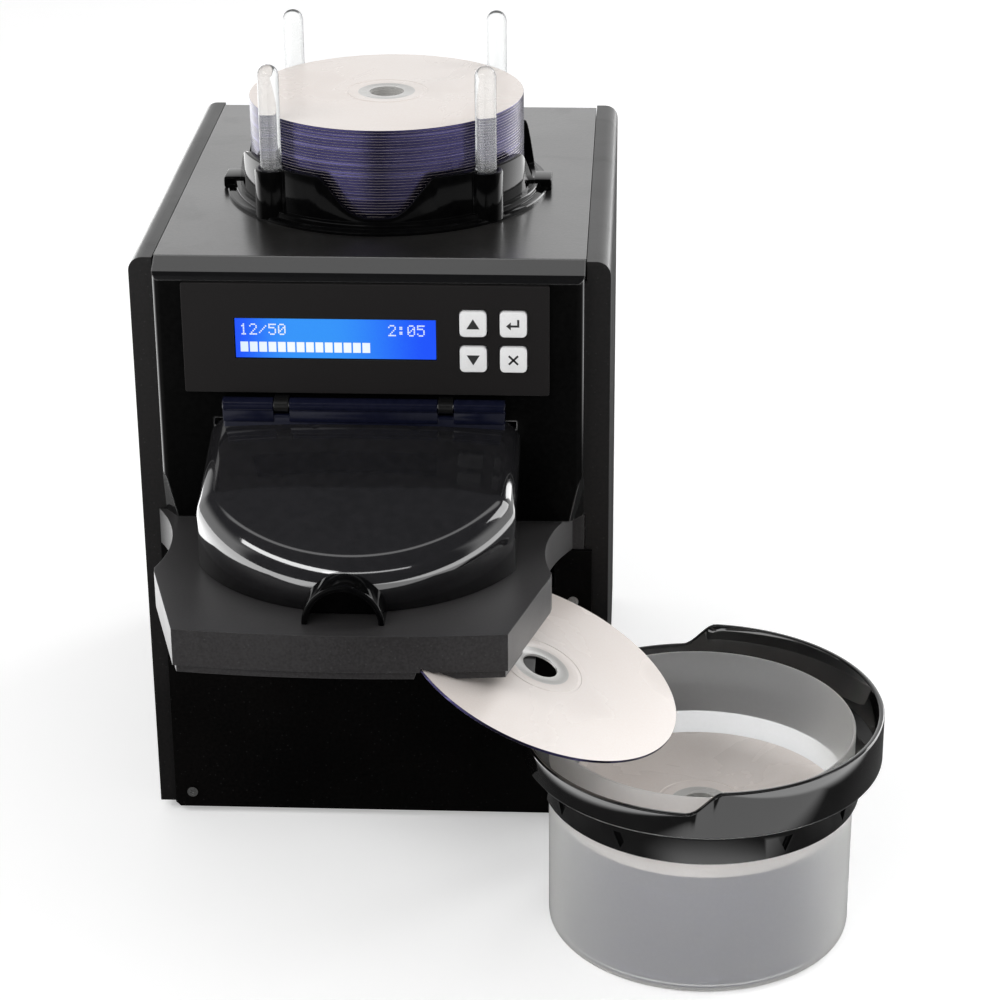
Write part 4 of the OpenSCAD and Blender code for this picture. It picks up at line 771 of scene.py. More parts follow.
@dataclass
class DiscStacks:
    """Blank discs in the hopper, finished discs in the bin and the disc on its way out."""

    finishes: Finishes
    disc: Disc
    hopper: Point2 = (0.0, 100.0)
    hopper_z: float = 243.0
    blanks: int = 49
    bin: Point2 = (140.0, -75.0)
    bin_z: float = -1.18
    done: int = 42
    leaving: Point3 = (73.6, -80.0, 114.5)
    tilt: float = 22.5
    turn: float = 10.3
    stack_steps: int = 96
    leaving_steps: int = 192

    def build(self) -> None:
        """Build both stacks and the leaving disc."""
        self._stack("hopper_disc_stack", self.hopper, self.hopper_z, self.blanks, Body.HOPPER_STACK,
                    "blank_discs")
        self._stack("bin_disc_stack", self.bin, self.bin_z, self.done, Body.BIN_STACK, "done_discs")
        bm = bmesh.new()
        self.disc.add(bm, (0.0, 0.0), -self.disc.thick / 2, True, self.leaving_steps)
        mark_rings(bm, (0.0, 0.0), self.disc.radius)
        lie = (Matrix.Translation(self.leaving) @ Matrix.Rotation(math.radians(-self.turn), 4, "Z")
               @ Matrix.Rotation(math.radians(self.tilt), 4, "Y"))
        bmesh.ops.transform(bm, matrix=lie, verts=bm.verts)
        finish_piece(bm, "leaving_disc", self.finishes.disc, Body.LEAVING_DISC,
                     ("finished_disc",))

    def _stack(self, name: str, centre: Point2, height: float, count: int, body: Body, node: str) -> None:
        """Build a stack of discs that stands for a CAD node.

        Args:
            name: the piece's name.
            centre: place of the stack's axis.
            height: height of its underside.
            count: number of discs.
            body: the body it rides on.
            node: the CAD node.
        """
        bm = bmesh.new()
        self.disc.add(bm, centre, height, False, self.stack_steps)
        below = bm.verts[:] + bm.edges[:] + bm.faces[:]
        for i in range(1, count - 1):
            copy = bmesh.ops.duplicate(bm, geom=below)["geom"]
            verts = [item for item in copy if isinstance(item, BMVert)]
            bmesh.ops.translate(bm, vec=(0, 0, i * self.disc.pitch), verts=verts)
        self.disc.add(bm, centre, height + (count - 1) * self.disc.pitch, True, self.stack_steps)
        mark_rings(bm, centre, self.disc.radius)
        finish_piece(bm, name, self.finishes.disc, body, (node,))


@dataclass
class Hopper:
    """Scalloped collar on the top plate with four clear guide rods."""

    finishes: Finishes
    centre: Point2 = (0.0, 100.0)
    base: float = 260.0
    inner: float = 61.2
    outer: float = 65.2
    height: float = 22.5
    skirt: float = 16.0
    foot: float = 2.0
    edge: float = 0.7
    soft: float = 0.2
    low: float = 5.5
    dip: float = 28.0
    rise: float = 18.5
    swell: float = 1.5
    flange: float = 71.0
    boss_r: float = 7.2
    boss_drop: float = 0.6
    rod_room: float = 0.02
    ear: Point2 = (62.0, 72.5)
    ear_half: float = 7.0
    ear_h: float = 5.0
    rods: int = 4
    rod_r: float = 4.6
    rod_ring: float = 64.9
    rod_foot: float = 2.2
    rod_top: float = 67.0

    def build(self) -> None:
        """Build the collar and its rods."""
        bm = bmesh.new()
        self._wall(bm)
        self._flange(bm)
        self._bosses(bm)
        for side in (-1, 1):
            near, far = sorted(side * x for x in self.ear)
            slab(bm, (near, -self.ear_half, 0.0), (far, self.ear_half, self.ear_h), 0.9, 3)
        bmesh.ops.translate(bm, vec=(*self.centre, self.base), verts=bm.verts)
        finish_piece(bm, "hopper_collar_shell", self.finishes.collar, Body.MACHINE,
                     ("hopper_collar",), 40.0)
        self._rods()

    def _lobe_height(self, x: float, y: float) -> float:
        """Return the collar's height, which dips at the front, back and sides.

        Args:
            x: place across, from the hopper's middle.
            y: place from front to back, from the hopper's middle.

        Returns:
            The height above the top plate.
        """
        aside = min(abs(x), abs(y))
        if aside >= self.dip:
            return self.height
        share = (aside / self.dip) ** self.swell
        wave = self.low + self.rise * (1 - math.cos(math.pi * share)) / 2
        return min(self.height, wave)

    def _wall(self, bm: BMesh) -> None:
        """Draw the scalloped wall.

        Args:
            bm: the mesh to add to.
        """
        r_in, r_out, h, e, s = self.inner, self.outer, self.height, self.edge, self.soft
        wall = lathe(bm, [(r_in, -self.skirt), (r_in, self.foot), (r_in, h - e), (r_in + s, h - s),
                          (r_in + e, h), (r_out - e, h), (r_out - s, h - s), (r_out, h - e),
                          (r_out, self.foot), (r_out, -self.skirt)], 288, closed=True)
        for vert in wall:
            if vert.co.z > self.foot + 0.1:
                vert.co.z += self._lobe_height(vert.co.x, vert.co.y) - h

    def _flange(self, bm: BMesh) -> None:
        """Draw the stepped flange that lies on the top plate."""
        lathe(bm, [(self.inner, 0.0), (self.flange, 0.0), (self.flange, 1.1), (self.flange - 0.5, 1.6),
                   (68.2, 1.6), (67.8, 1.9), (67.6, 3.4), (67.0, 4.0), (self.outer - 1, 4.0),
                   (self.inner, 4.0)], 192, closed=True)

    def _rod_places(self) -> List[Point2]:
        """Return where the rods stand, from the hopper's middle."""
        turns = [math.radians(45 + 360 / self.rods * k) for k in range(self.rods)]
        return [(self.rod_ring * math.cos(turn), self.rod_ring * math.sin(turn)) for turn in turns]

    def _bosses(self, bm: BMesh) -> None:
        """Draw the bosses that hold the rods.

        Args:
            bm: the mesh to add to.
        """
        bore, top, r = self.rod_r + self.rod_room, self.height - self.boss_drop, self.boss_r
        for place in self._rod_places():
            lathe(bm, [(bore, 0.8), (r, 0.8), (r, top - 0.8), (r - 0.3, top - 0.2), (r - 0.8, top),
                       (self.rod_r + 0.5, top), (bore, top - 0.5)], 48, place, closed=True)

    def _rods(self) -> None:
        """Build the clear rods with round tips."""
        bm = bmesh.new()
        tip = self.rod_top - self.rod_r
        turns = [math.radians(a) for a in range(0, 91, 10)]
        dome = [(self.rod_r * math.cos(a), tip + self.rod_r * math.sin(a)) for a in turns]
        for place in self._rod_places():
            lathe(bm, [(0.0, self.rod_foot), (self.rod_r, self.rod_foot), *dome], 40, place)
        bmesh.ops.translate(bm, vec=(*self.centre, self.base), verts=bm.verts)
        finish_piece(bm, "clear_guide_rods", self.finishes.clear, Body.MACHINE, ("guide_rods",))


@dataclass
class OutputBin:
    """Frosted tub with a snap collar that has a high guard on its far side."""

    finishes: Finishes
    centre: Point2 = (140.0, -75.0)
    floor: float = -3.0
    radius: float = 62.8
    wall: float = 1.2
    height: float = 91.0
    foot_r: float = 3.0
    floor_t: float = 1.8
    guard_r: float = 74.0
    guard_t: float = 2.4
    guard_room: float = 0.1
    drop: float = 29.0
    flare: float = 12.0
    wide: float = 17.0
    low: float = -1.5
    high: float = 8.0
    step: float = 14.0
    edge: float = 0.6
    soft: float = 0.2
    pocket: float = 7.0
    pocket_low: float = 2.0
    pocket_depth: float = 1.8
    pocket_angles: Tuple[float, ...] = (-150.0, -120.0, -60.0, -30.0)

    def build(self) -> None:
        """Build the tub and its collar."""
        bm = bmesh.new()
        r, h, f = self.radius, self.height, self.foot_r
        inside = r - self.wall
        turns = [math.radians(a) for a in range(0, 91, 15)]
        arc = [(r - f + f * math.sin(a), f - f * math.cos(a)) for a in turns]
        lathe(bm, [(0.0, 0.0), *arc, (r, h - 0.5), (r - 0.3, h), (inside + 0.3, h), (inside, h - 0.5),
                   (inside, 4.0), (inside - 2.2, self.floor_t), (0.0, self.floor_t)], 160, self.centre)
        bmesh.ops.translate(bm, vec=(0, 0, self.floor), verts=bm.verts)
        finish_piece(bm, "bin_tub_shell", self.finishes.frost, Body.BIN, ("bin_tub",))
        self._collar()

    def _collar(self) -> None:
        """Build the collar, with its upper edge raised on the right."""
        bm = bmesh.new()
        inner = self.radius + self.guard_room
        outer = inner + self.guard_t
        base = self.height - self.drop
        flare, wide, top = base + self.flare, base + self.wide, self.height + self.high
        g, g_in, e, s = self.guard_r, self.guard_r - self.guard_t, self.edge, self.soft
        rim = lathe(bm, [(inner, base), (outer - e, base), (outer, base + e), (outer, flare - 0.8),
                         (outer + 0.5, flare + 0.2), (g - 0.8, wide - 0.6), (g, wide + 0.6), (g, top - e),
                         (g - s, top - s), (g - e, top), (g_in + e, top), (g_in + s, top - s),
                         (g_in, top - e), (g_in, wide + 1.2), (inner, flare + 1.0)], 240, closed=True)
        for vert in rim:
            if vert.co.z > wide + 2:
                share = min(1.0, max(0.0, (vert.co.x + self.step / 2) / self.step))
                lift = share * share * (3 - 2 * share)
                vert.co.z -= (1 - lift) * (self.high - self.low)
        for angle in self.pocket_angles:
            self._pocket(bm, math.radians(angle), outer, base + self.pocket_low)
        bmesh.ops.translate(bm, vec=(*self.centre, self.floor), verts=bm.verts)
        finish_piece(bm, "bin_collar_shell", self.finishes.gloss, Body.BIN, ("bin_collar",),
                     30.0)

    def _pocket(self, bm: BMesh, angle: float, radius: float, low: float) -> None:
        """Sink one triangular pocket, point down, into the collar's lower band.

        Args:
            bm: the collar, about its own axis.
            angle: where the pocket's middle lies round the collar.
            radius: outer radius of the band.
            low: height of the pocket's point.
        """
        out = Vector((math.cos(angle), math.sin(angle), 0.0))
        side = Vector((-out.y, out.x, 0.0))
        up = Vector((0.0, 0.0, 1.0))
        lean = math.atan2(self.pocket / 2, self.pocket)
        cuts = [(up * low, side * math.cos(lean) - up * math.sin(lean)),
                (up * low, -side * math.cos(lean) - up * math.sin(lean)),
                (up * (low + self.pocket), up)]
        for place, way in cuts:
            near = self._band(bm, out, side, radius)
            geom = list({v for f in near for v in f.verts}) + list({e for f in near for e in f.edges}) + near
            bmesh.ops.bisect_plane(bm, geom=geom, plane_co=place, plane_no=way, dist=0.0001)
        inside = [face for face in self._band(bm, out, side, radius)
                  if all((face.calc_center_median() - place).dot(way) < 0 for place, way in cuts)]
        thicken(bm, inside, -out * self.pocket_depth)
        bmesh.ops.delete(bm, geom=inside, context="FACES")

    @staticmethod
    def _band(bm: BMesh, out: Vector, side: Vector, radius: float) -> List[BMFace]:
        """Find the outer wall of the lower band near a direction.

        Args:
            bm: the collar, about its own axis.
            out: the direction from the axis.
            side: the direction along the wall there.
            radius: outer radius of the band.

        Returns:
            The faces of the wall.
        """
        near = []
        for face in bm.faces:
            middle = face.calc_center_median()
            if (abs(face.normal.z) < 0.1 and middle.dot(out) > 0 and abs(middle.dot(side)) < 9.0
                    and abs(middle.xy.length - radius) < 0.1):
                near.append(face)
        return near


@dataclass
class Cover:
    """Glossy domed cover with its apron, hinge barrel and half-round finger tab."""

    finishes: Finishes
    x: float = -2.3
    low: float = 146.3
    radius: float = 72.0
    half: float = 65.3
    front: float = 97.6
    back: float = -8.3
    behind: float = 34.0
    middle: float = -38.0
    front_z: float = 165.0
    slope: float = 17.0
    edge: float = 9.0
    # Share of the way from the crown's middle to its rim, and the rise above its plane there
    dome: Tuple[Point2, ...] = ((0.93, 0.2), (0.8, 0.6), (0.6, 1.1), (0.4, 1.4), (0.2, 1.6))
    wall: float = 2.5
    corners: int = 180
    hinge: Point2 = (-12.0, 200.0)
    apron_half: float = 59.0
    apron_t: float = 5.5
    barrel_r: float = 3.0
    barrel_bore: float = 1.56
    barrel_half: float = 31.0
    bracket_room: float = 6.6
    web_half: float = 2.4
    tab_x: float = -3.0
    tab_r: float = 16.5
    tab_reach: float = 11.0
    tab_sunk: float = 1.5
    tab_web: float = 1.0
    smooth: float = 38.0

    def build(self) -> None:
        """Build the cover's shell and what is moulded onto it."""
        self._shell()
        bm = bmesh.new()
        self._apron(bm)
        finish_piece(bm, "cover_hinge_apron", self.finishes.hinge, Body.COVER, (), self.smooth)
        bm = bmesh.new()
        self._tab_back(bm)
        self._tab_arch(bm)
        bmesh.ops.translate(bm, vec=(self.tab_x, 0.0, self.low), verts=bm.verts)
        finish_piece(bm, "cover_finger_tab", self.finishes.collar, Body.COVER, (), self.smooth)

    def _crown(self, y: float) -> float:
        """Return the height of the crown's plane at a place from back to front."""
        return self.front_z + (y + self.front) * math.tan(math.radians(self.slope))

    def _outline(self, inset: float) -> List[Vector]:
        """Return the plan's outline, drawn in by an inset, at the cover's lower edge."""
        return [self._outline_point(math.tau * k / self.corners, inset) for k in range(self.corners)]

    def _outline_point(self, angle: float, inset: float) -> Vector:
        """Return a point of the plan's outline, an arc between straight sides.

        Args:
            angle: direction from the plan's middle.
            inset: how far the outline is drawn in.

        Returns:
            The point in the case's frame, at the cover's lower edge.
        """
        way = Vector((math.cos(angle), math.sin(angle)))
        off = Vector((0.0, self.middle - self.radius + self.front))
        radius = self.radius - inset
        lean = off.dot(way)
        far = -lean + math.sqrt(lean * lean - off.length_squared + radius * radius)
        if abs(way.x) > 1e-9:
            far = min(far, (self.half - inset) / abs(way.x))
        if way.y > 1e-9:
            far = min(far, (self.behind - self.middle) / way.y)
        return Vector((self.x + way.x * far, self.middle + way.y * far, self.low))

    def _shell(self) -> None:
        """Build the skin from the foot over the rounded edge to the crown, open at the back."""
        bm = bmesh.new()
        loop = list(bmesh.ops.create_circle(bm, cap_ends=False, segments=self.corners, radius=1.0)["verts"])
        loop.sort(key=lambda vert: math.atan2(vert.co.y, vert.co.x) % math.tau)
        for vert, place in zip(loop, self._outline(0.0)):
            vert.co = place
        for turn in range(0, 91, 10):
            a = math.radians(turn)
            drop = self.edge * (1 - math.sin(a))
            flat = self._outline(self.edge * (1 - math.cos(a)))
            loop = grow(bm, loop, [Vector((p.x, p.y, self._crown(p.y) - drop)) for p in flat])
        heart = Vector((self.x, self.middle))
        rim = [vert.co.xy - heart for vert in loop]
        for share, rise in self.dome:
            flat = [heart + way * share for way in rim]
            loop = grow(bm, loop, [Vector((p.x, p.y, self._crown(p.y) + rise)) for p in flat])
        cap = bmesh.ops.contextual_create(bm, geom=ring_edges(bm, loop))
        bmesh.ops.poke(bm, faces=cap["faces"])
        bmesh.ops.bisect_plane(bm, geom=bm.verts[:] + bm.edges[:] + bm.faces[:], plane_co=(0, self.back, 0),
                               plane_no=(0, 1, 0), clear_outer=True)
        shell = finish_piece(bm, "cover_shell", self.finishes.lid, Body.COVER, ("cover_lid",),
                             self.smooth)
        wall = shell.modifiers.new("wall", "SOLIDIFY")
        wall.thickness = self.wall * MM
        wall.offset = -1.0

    def _apron(self, bm: BMesh) -> None:
        """Draw the apron that rises to the hinge, and the barrel in three lengths.

        Args:
            bm: the mesh to add to.
        """
        top = self.hinge[1] - self.barrel_r - 1
        foot = self._crown(self.back - self.edge) - 2
        half = self.apron_half
        slab(bm, (self.x - half, self.back - self.apron_t, foot), (self.x + half, self.back, top), 1.2, 3)
        outer = self.barrel_half + self.bracket_room
        for start, end in ((-half, -outer), (-self.barrel_half, self.barrel_half), (outer, half)):
            self._barrel(bm, start, end, top)

    def _barrel(self, bm: BMesh, start: float, end: float, top: float) -> None:
        """Draw one length of the hinge barrel on its web.

        Args:
            bm: the mesh to add to.
            start: where it starts, from the cover's middle.
            end: where it ends.
            top: height of the apron's upper edge.
        """
        r, bore, e = self.barrel_r, self.barrel_bore, 0.4
        barrel = lathe(bm, [(bore, start), (r - e, start), (r, start + e), (r, end - e), (r - e, end),
                            (bore, end)], 40, closed=True)
        turn = Matrix.Translation((self.x, *self.hinge)) @ Matrix.Rotation(math.radians(90), 4, "Y")
        bmesh.ops.transform(bm, matrix=turn, verts=barrel)
        y, z = self.hinge
        slab(bm, (self.x + start, y - self.web_half, top - 3),
             (self.x + end, y + self.web_half, z - 1.6), 0.5)

    def _tab_back(self, bm: BMesh) -> None:
        """Draw the half-round web that closes the finger tab's back, about the tab's axis.

        Args:
            bm: an empty mesh.
        """
        bmesh.ops.create_circle(bm, cap_ends=True, segments=96, radius=self.tab_r - self.wall + 0.4)
        bmesh.ops.bisect_plane(bm, geom=bm.verts[:] + bm.edges[:] + bm.faces[:], plane_co=(0, 0.01, 0),
                               plane_no=(0, -1, 0), clear_outer=True)
        thicken(bm, bm.faces[:], (0, 0, self.tab_web))
        stand = Matrix.Translation((0, -self.front, 0)) @ Matrix.Rotation(math.radians(90), 4, "X")
        bmesh.ops.transform(bm, matrix=stand, verts=bm.verts)

    def _tab_arch(self, bm: BMesh) -> None:
        """Draw the half-round arch that a finger lifts, about the tab's axis.

        Args:
            bm: the mesh to add to.
        """
        outer, inner = self.tab_r, self.tab_r - self.wall
        start, end = -self.front - self.tab_reach, -self.front + self.tab_sunk
        line = [bm.verts.new((radius, y, 0.0)) for radius, y in (
            (outer - 0.8, start), (outer - 0.2, start + 0.2), (outer, start + 0.8), (outer, end),
            (inner, end), (inner, start + 0.5), (inner + 0.5, start))]
        bmesh.ops.spin(bm, geom=line + ring_edges(bm, line), cent=(0, 0, 0), axis=(0, -1, 0), dvec=(0, 0, 0),
                       angle=math.pi, steps=48, use_merge=False, use_duplicate=False)
        bmesh.ops.holes_fill(bm, edges=[e for e in bm.edges if e.is_boundary], sides=0)


class Sign(Enum):
    """Plain signs printed on the keys, each as filled outlines about the key's middle."""

    UP = (((-2.7, -2.0), (2.7, -2.0), (0.0, 2.4)),)
    DOWN = (((-2.7, 2.0), (2.7, 2.0), (0.0, -2.4)),)
    CONFIRM = (((-1.0, -1.0), (2.5, -1.0), (2.5, -0.1), (-1.0, -0.1)),
               ((1.6, -0.1), (2.5, -0.1), (2.5, 2.3), (1.6, 2.3)),
               ((-2.9, -0.55), (-1.0, -2.3), (-1.0, 1.2)))
    CANCEL = (((-2.2, -1.6), (-1.6, -2.2), (2.2, 1.6), (1.6, 2.2)),
              ((-2.2, 1.6), (1.6, -2.2), (2.2, -1.6), (-1.6, 2.2)))


@dataclass(frozen=True)
class Key:
    """One key: its node, its body, where it stands and its sign."""

    node: str
    body: Body
    column: int
    row: int
    sign: Sign


@dataclass
class ControlPanel:
    """Backlit display and the four keys."""

    finishes: Finishes
    lcd: Tuple[float, float, float, float] = (-55.5, 28.5, 219.5, 237.5)
    lcd_y: float = -9.2
    lcd_room: float = 0.35
    dot: float = 0.56
    dot_pitch: float = 0.64
    dot_stretch: float = 1.12
    figure_pitch: float = 6.2
    text_margin: float = 2.4
    text_drop: float = 2.6
    time_w: float = 20.0
    blocks: int = 14
    block_pitch: float = 3.9
    block_w: float = 3.2
    block_z: Point2 = (3.0, 7.4)
    key_x: float = 43.6
    pitch_x: float = 16.6
    pitch_z: float = 15.5
    mid_z: float = 228.5
    size: float = 11.2
    front: float = -11.5
    key_back: float = -5.0
    key_round: float = 2.0
    key_crown: float = 0.55
    key_lip: float = 1.2
    keys: Tuple[Key, ...] = (Key("up_key", Body.KEY_UP, 0, 0, Sign.UP),
                             Key("down_key", Body.KEY_DOWN, 0, 1, Sign.DOWN),
                             Key("enter_key", Body.KEY_ENTER, 1, 0, Sign.CONFIRM),
                             Key("escape_key", Body.KEY_ESCAPE, 1, 1, Sign.CANCEL))

    def build(self) -> None:
        """Build the display and the keys."""
        self._display()
        for key in self.keys:
            self._key(key)

    def _display(self) -> None:
        """Build the glowing screen with figures and a row of progress blocks."""
        x0, x1, z0, z1 = self.lcd
        room = self.lcd_room
        bm = bmesh.new()
        slab(bm, (x0 + room, self.lcd_y - 0.25, z0 + room),
             (x1 - room, self.lcd_y - 0.02, z1 - room), 0.08, 1)
        finish_piece(bm, "display_screen", self.finishes.screen, Body.MACHINE)
        bm = bmesh.new()
        self._figures(bm, "12/50", x0 + self.text_margin, z1 - self.text_drop)
        self._figures(bm, "2:05", x1 - self.time_w, z1 - self.text_drop)
        for k in range(self.blocks):
            left = x0 + self.text_margin + k * self.block_pitch
            self._lit(bm, left, z0 + self.block_z[0], left + self.block_w, z0 + self.block_z[1])
        finish_piece(bm, "display_figures", self.finishes.pixel, Body.MACHINE)

    def _lit(self, bm: BMesh, x0: float, z0: float, x1: float, z1: float) -> None:
        """Draw one lit block on the screen."""
        slab(bm, (x0, self.lcd_y - 0.32, z0), (x1, self.lcd_y - 0.26, z1))

    def _figures(self, bm: BMesh, text: str, left: float, top: float) -> None:
        """Set figures in dots, five wide and seven high.

        Args:
            bm: the mesh to add to.
            text: figures to set.
            left: where they start.
            top: height of their upper edge.
        """
        shapes = {"0": "01110 10001 10011 10101 11001 10001 01110",
                  "1": "00100 01100 00100 00100 00100 00100 01110",
                  "2": "01110 10001 00001 00010 00100 01000 11111",
                  "5": "11111 10000 11110 00001 00001 10001 01110",
                  "/": "00000 00001 00010 00100 01000 10000 00000",
                  ":": "00000 01100 01100 00000 01100 01100 00000"}
        for place, figure in enumerate(text):
            for row, dots in enumerate(shapes[figure].split()):
                for column, on in enumerate(dots):
                    if on == "1":
                        x = left + (place * self.figure_pitch + column) * self.dot_pitch
                        z = top - row * self.dot_pitch * self.dot_stretch
                        self._lit(bm, x, z - self.dot, x + self.dot, z)

    def _key(self, key: Key) -> None:
        """Build one key with its sign.

        Args:
            key: which key.
        """
        x = self.key_x + key.column * self.pitch_x
        z = self.mid_z + self.pitch_z * (0.5 - key.row)
        half = self.size / 2
        lip = half + self.key_lip
        bm = bmesh.new()
        made = slab(bm, (x - half, self.front, z - half), (x + half, self.key_back, z + half))
        edges = {e for vert in made for e in vert.link_edges}
        round_edges(bm, [e for e in edges if abs(e.verts[0].co.y - e.verts[1].co.y) > 1], self.key_round, 6)
        crown = [e for e in bm.edges if all(abs(v.co.y - self.front) < 0.01 for v in e.verts)]
        round_edges(bm, crown, self.key_crown, 3)
        slab(bm, (x - lip, self.key_back - 0.2, z - lip), (x + lip, self.key_back + 0.8, z + lip), 0.3, 1)
        finish_piece(bm, key.node + "_cap", self.finishes.key, key.body, (key.node,), 45.0)
        bm = bmesh.new()
        for outline in key.sign.value:
            corners = [bm.verts.new((x + dx, self.front - 0.01, z + dz)) for dx, dz in outline]
            thicken(bm, bmesh.ops.contextual_create(bm, geom=corners)["faces"], (0, -0.05, 0))
        finish_piece(bm, key.node + "_sign", self.finishes.ink, key.body)


@dataclass
class CadDress:
    """Finishes of the CAD nodes that show as they are."""

    finishes: Finishes
    nodes: Dict[str, Object]

    def build(self) -> None:
        """Give every CAD node its finish."""
        f = self.finishes
        for material, names in (
                (f.case, ("left_side_panel", "right_side_panel", "rear_panel")),
                (f.panel, ("lower_front_panel",)),
                (f.top, ("top_plate",)),
                (f.fascia, ("front_fascia",)),
                (f.satin, ("hinge_brackets", "drive_tray", "exit_chute", "lift_actuator", "fan_frame",
                           "fan_rotor", "power_inlet", "switch_frame", "power_switch")),
                (f.shelf, ("disc_ledge",)),
                (f.gloss, ("bin_collar",)),
                (f.lid, ("cover_lid",)),
                (f.collar, ("hopper_collar",)),
                (f.film, ("display_overlay",)),
                (f.key, ("up_key", "down_key", "enter_key", "escape_key")),
                (f.grey, ("feed_ramp", "spindle_hub", "pickup_sled")),
                (f.acetal, ("separator_ring", "motor_pinion", "tray_pinion")),
                (f.rubber, ("rubber_feet",)),
                (f.silicone, ("key_mat",)),
                (f.zinc, ("base_pan", "dispenser_frame", "dispenser_motor", "drive_rails", "drive_housing",
                          "spindle_motor", "power_supply")),
                (f.steel, ("rear_screws", "front_screws", "hinge_pin", "sled_rods", "lift_spindle")),
                (f.brass, ("board_posts",)),
                (f.clear, ("guide_rods",)),
                (f.frost, ("bin_tub",)),
                (f.disc, ("blank_discs", "done_discs", "finished_disc")),
                (f.board, ("control_board", "main_board", "lcd_module"))):
            for name in names:
                data = self.nodes[name].data
                data.materials.clear()
                data.materials.append(material)
                LOG.info("%s wears %s", name, material.name)


@dataclass(frozen=True)
class Lamp:
    """A soft rectangular lamp: its place, the height it faces on the axis, its size and its power."""

    name: str
    place: Point3
    target_z: float
    size: Point2
    power: float

    def build(self) -> None:
        """Hang the lamp."""
        data = bpy.data.lights.new(self.name, "AREA")
        data.shape = "RECTANGLE"
        data.size, data.size_y = self.size
        data.energy = self.power
        lamp = bpy.data.objects.new(self.name, data)
        way = Vector((0.0, 0.0, self.target_z)) - Vector(self.place)
        lamp.matrix_world = Matrix.Translation(self.place) @ way.to_track_quat("-Z", "Y").to_matrix().to_4x4()
        bpy.context.scene.collection.objects.link(lamp)


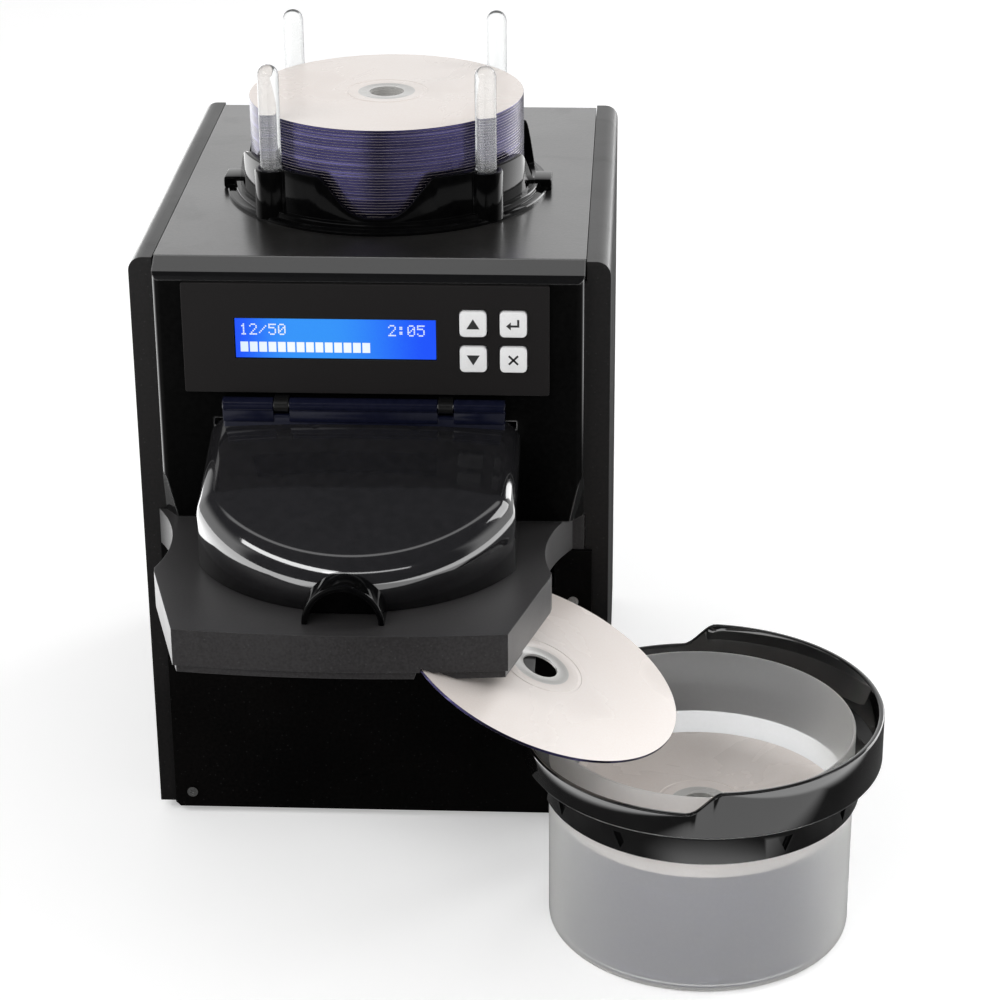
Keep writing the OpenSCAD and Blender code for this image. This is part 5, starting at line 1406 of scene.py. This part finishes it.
@dataclass
class Studio:
    """Floor, world, lamps and the camera at the photograph's angle."""

    camera_at: Point3 = (112.0, -1113.0, 653.0)
    pitch: float = 24.19
    yaw: float = -3.0
    roll: float = -0.39
    lens: float = 103.2
    fill: Colour = (0.55, 0.55, 0.55)
    dim: Colour = (0.06, 0.06, 0.065)
    floor_half: float = 6.0
    floor_z: float = -0.0004
    floor_glow: float = 0.35
    lamps: Tuple[Lamp, ...] = (Lamp("key_lamp", (-0.85, -0.85, 1.25), 0.15, (1.3, 0.3), 8.0),
                               Lamp("front_lamp", (0.05, -1.3, 1.25), 0.2, (1.2, 0.12), 1.4),
                               Lamp("back_lamp", (0.95, 1.2, 0.85), 0.15, (0.5, 0.7), 5.0),
                               Lamp("side_lamp", (1.05, 0.25, 1.1), 0.15, (0.6, 0.6), 4.0))

    def build(self) -> None:
        """Build the studio."""
        self._camera()
        self._world()
        self._floor()
        for lamp in self.lamps:
            lamp.build()
        bpy.context.scene.view_settings.view_transform = "Standard"

    def _camera(self) -> None:
        """Stand the camera where the photograph was taken."""
        p, y, r = (math.radians(a) for a in (self.pitch, self.yaw, self.roll))
        right = Vector((math.cos(y), -math.sin(y), 0.0))
        ahead = Vector((math.sin(y), math.cos(y), 0.0))
        up = Vector((0.0, 0.0, 1.0))
        look = ahead * math.cos(p) - up * math.sin(p)
        head = up * math.cos(p) + ahead * math.sin(p)
        side = right * math.cos(r) + head * math.sin(r)
        top = head * math.cos(r) - right * math.sin(r)
        data = bpy.data.cameras.new("photo_camera")
        data.sensor_width = 36.0
        data.lens = self.lens
        data.clip_end = 20.0
        camera = bpy.data.objects.new("photo_camera", data)
        turn = Matrix((side, top, -look)).transposed().to_4x4()
        camera.matrix_world = Matrix.Translation((Vector(self.camera_at) + DATUM) * MM) @ turn
        bpy.context.scene.collection.objects.link(camera)
        bpy.context.scene.camera = camera

    def _world(self) -> None:
        """Light evenly from all round, with a white backdrop and, in reflections, a dark ceiling and front.

        A small bright window high behind the machine shows only in reflections, on the fascia's sloped lip.
        """
        world = bpy.data.worlds.new("studio_world")
        world.use_nodes = True
        bpy.context.scene.world = world
        shader = Shader(world.node_tree)
        shader.tree.nodes.clear()
        path = shader.add("ShaderNodeLightPath").outputs
        way = shader.split(shader.add("ShaderNodeTexCoord").outputs["Generated"])
        depth, tall = way[1], way[2]
        dark = shader.most(shader.ramp(tall, 0.35, 0.7), shader.ramp(depth, -0.2, -0.45))
        behind = shader.times(shader.ramp(depth, 0.2, 0.25), shader.ramp(depth, 0.35, 0.31))
        window = shader.times(behind, shader.ramp(tall, 0.82, 0.88))
        mirrored = shader.mix(window, shader.mix(dark, WHITE, self.dim), WHITE)
        through = shader.math("MINIMUM", path["Transmission Depth"], 1.0)
        colour = shader.mix(path["Is Glossy Ray"], self.fill, mirrored)
        colour = shader.mix(shader.most(path["Is Camera Ray"], through), colour, WHITE)
        back = shader.add("ShaderNodeBackground", {"Color": colour, "Strength": 1.0})
        shader.add("ShaderNodeOutputWorld", {0: back.outputs[0]})

    def _floor(self) -> None:
        """Lay a white floor that keeps the shadow."""
        bm = bmesh.new()
        bmesh.ops.create_grid(bm, x_segments=1, y_segments=1, size=self.floor_half)
        bmesh.ops.translate(bm, vec=(0, 0, self.floor_z), verts=bm.verts)
        mesh = bpy.data.meshes.new("studio_floor")
        bm.to_mesh(mesh)
        bm.free()
        mesh.materials.append(self._paper())
        floor = bpy.data.objects.new("studio_floor", mesh)
        bpy.context.scene.collection.objects.link(floor)

    def _paper(self) -> Material:
        """Return white paper that in reflections is dark, with bright cards beside the machine."""
        material, shader, bsdf = new_material("studio_floor_paper")
        where = shader.where()
        paper = shader.mix(shader.noise(where, 30.0, 2.0), (0.93, 0.93, 0.93), (0.95, 0.95, 0.95))
        x, y, _ = shader.split(where)
        left = shader.ramp(x, -0.2, -0.38, 0.06, 3.2)
        right = shader.ramp(x, 0.42, 0.56, 0.06, 3.0)
        front = shader.times(shader.ramp(x, -0.02, 0.06, 0.0, 1.3), shader.ramp(y, -0.2, -0.28))
        path = shader.add("ShaderNodeLightPath").outputs
        clear = shader.minus(1.0, path["Transmission Depth"], clamp=True)
        mirrored = shader.times(path["Is Glossy Ray"], clear)
        cards = shader.times(shader.most(left, right, front), mirrored)
        glow = shader.plus(cards, shader.times(shader.minus(1.0, mirrored), self.floor_glow))
        shader.feed(bsdf, Base_Color=shader.mix(mirrored, paper, (0.02, 0.02, 0.02)), Roughness=0.7,
                    Specular_IOR_Level=0.1, Emission_Color=WHITE, Emission_Strength=glow)
        return material


def main() -> None:
    """Build the duplicator's looks piece by piece."""
    logging.basicConfig(level=logging.INFO, format="%(name)s: %(message)s")
    finishes = Finishes()
    CadDress(finishes, frame["nodes"]).build()
    DiscStacks(finishes, Disc()).build()
    Hopper(finishes).build()
    OutputBin(finishes).build()
    Cover(finishes).build()
    ControlPanel(finishes).build()
    Studio().build()


if __name__ == "__main__":
    main()
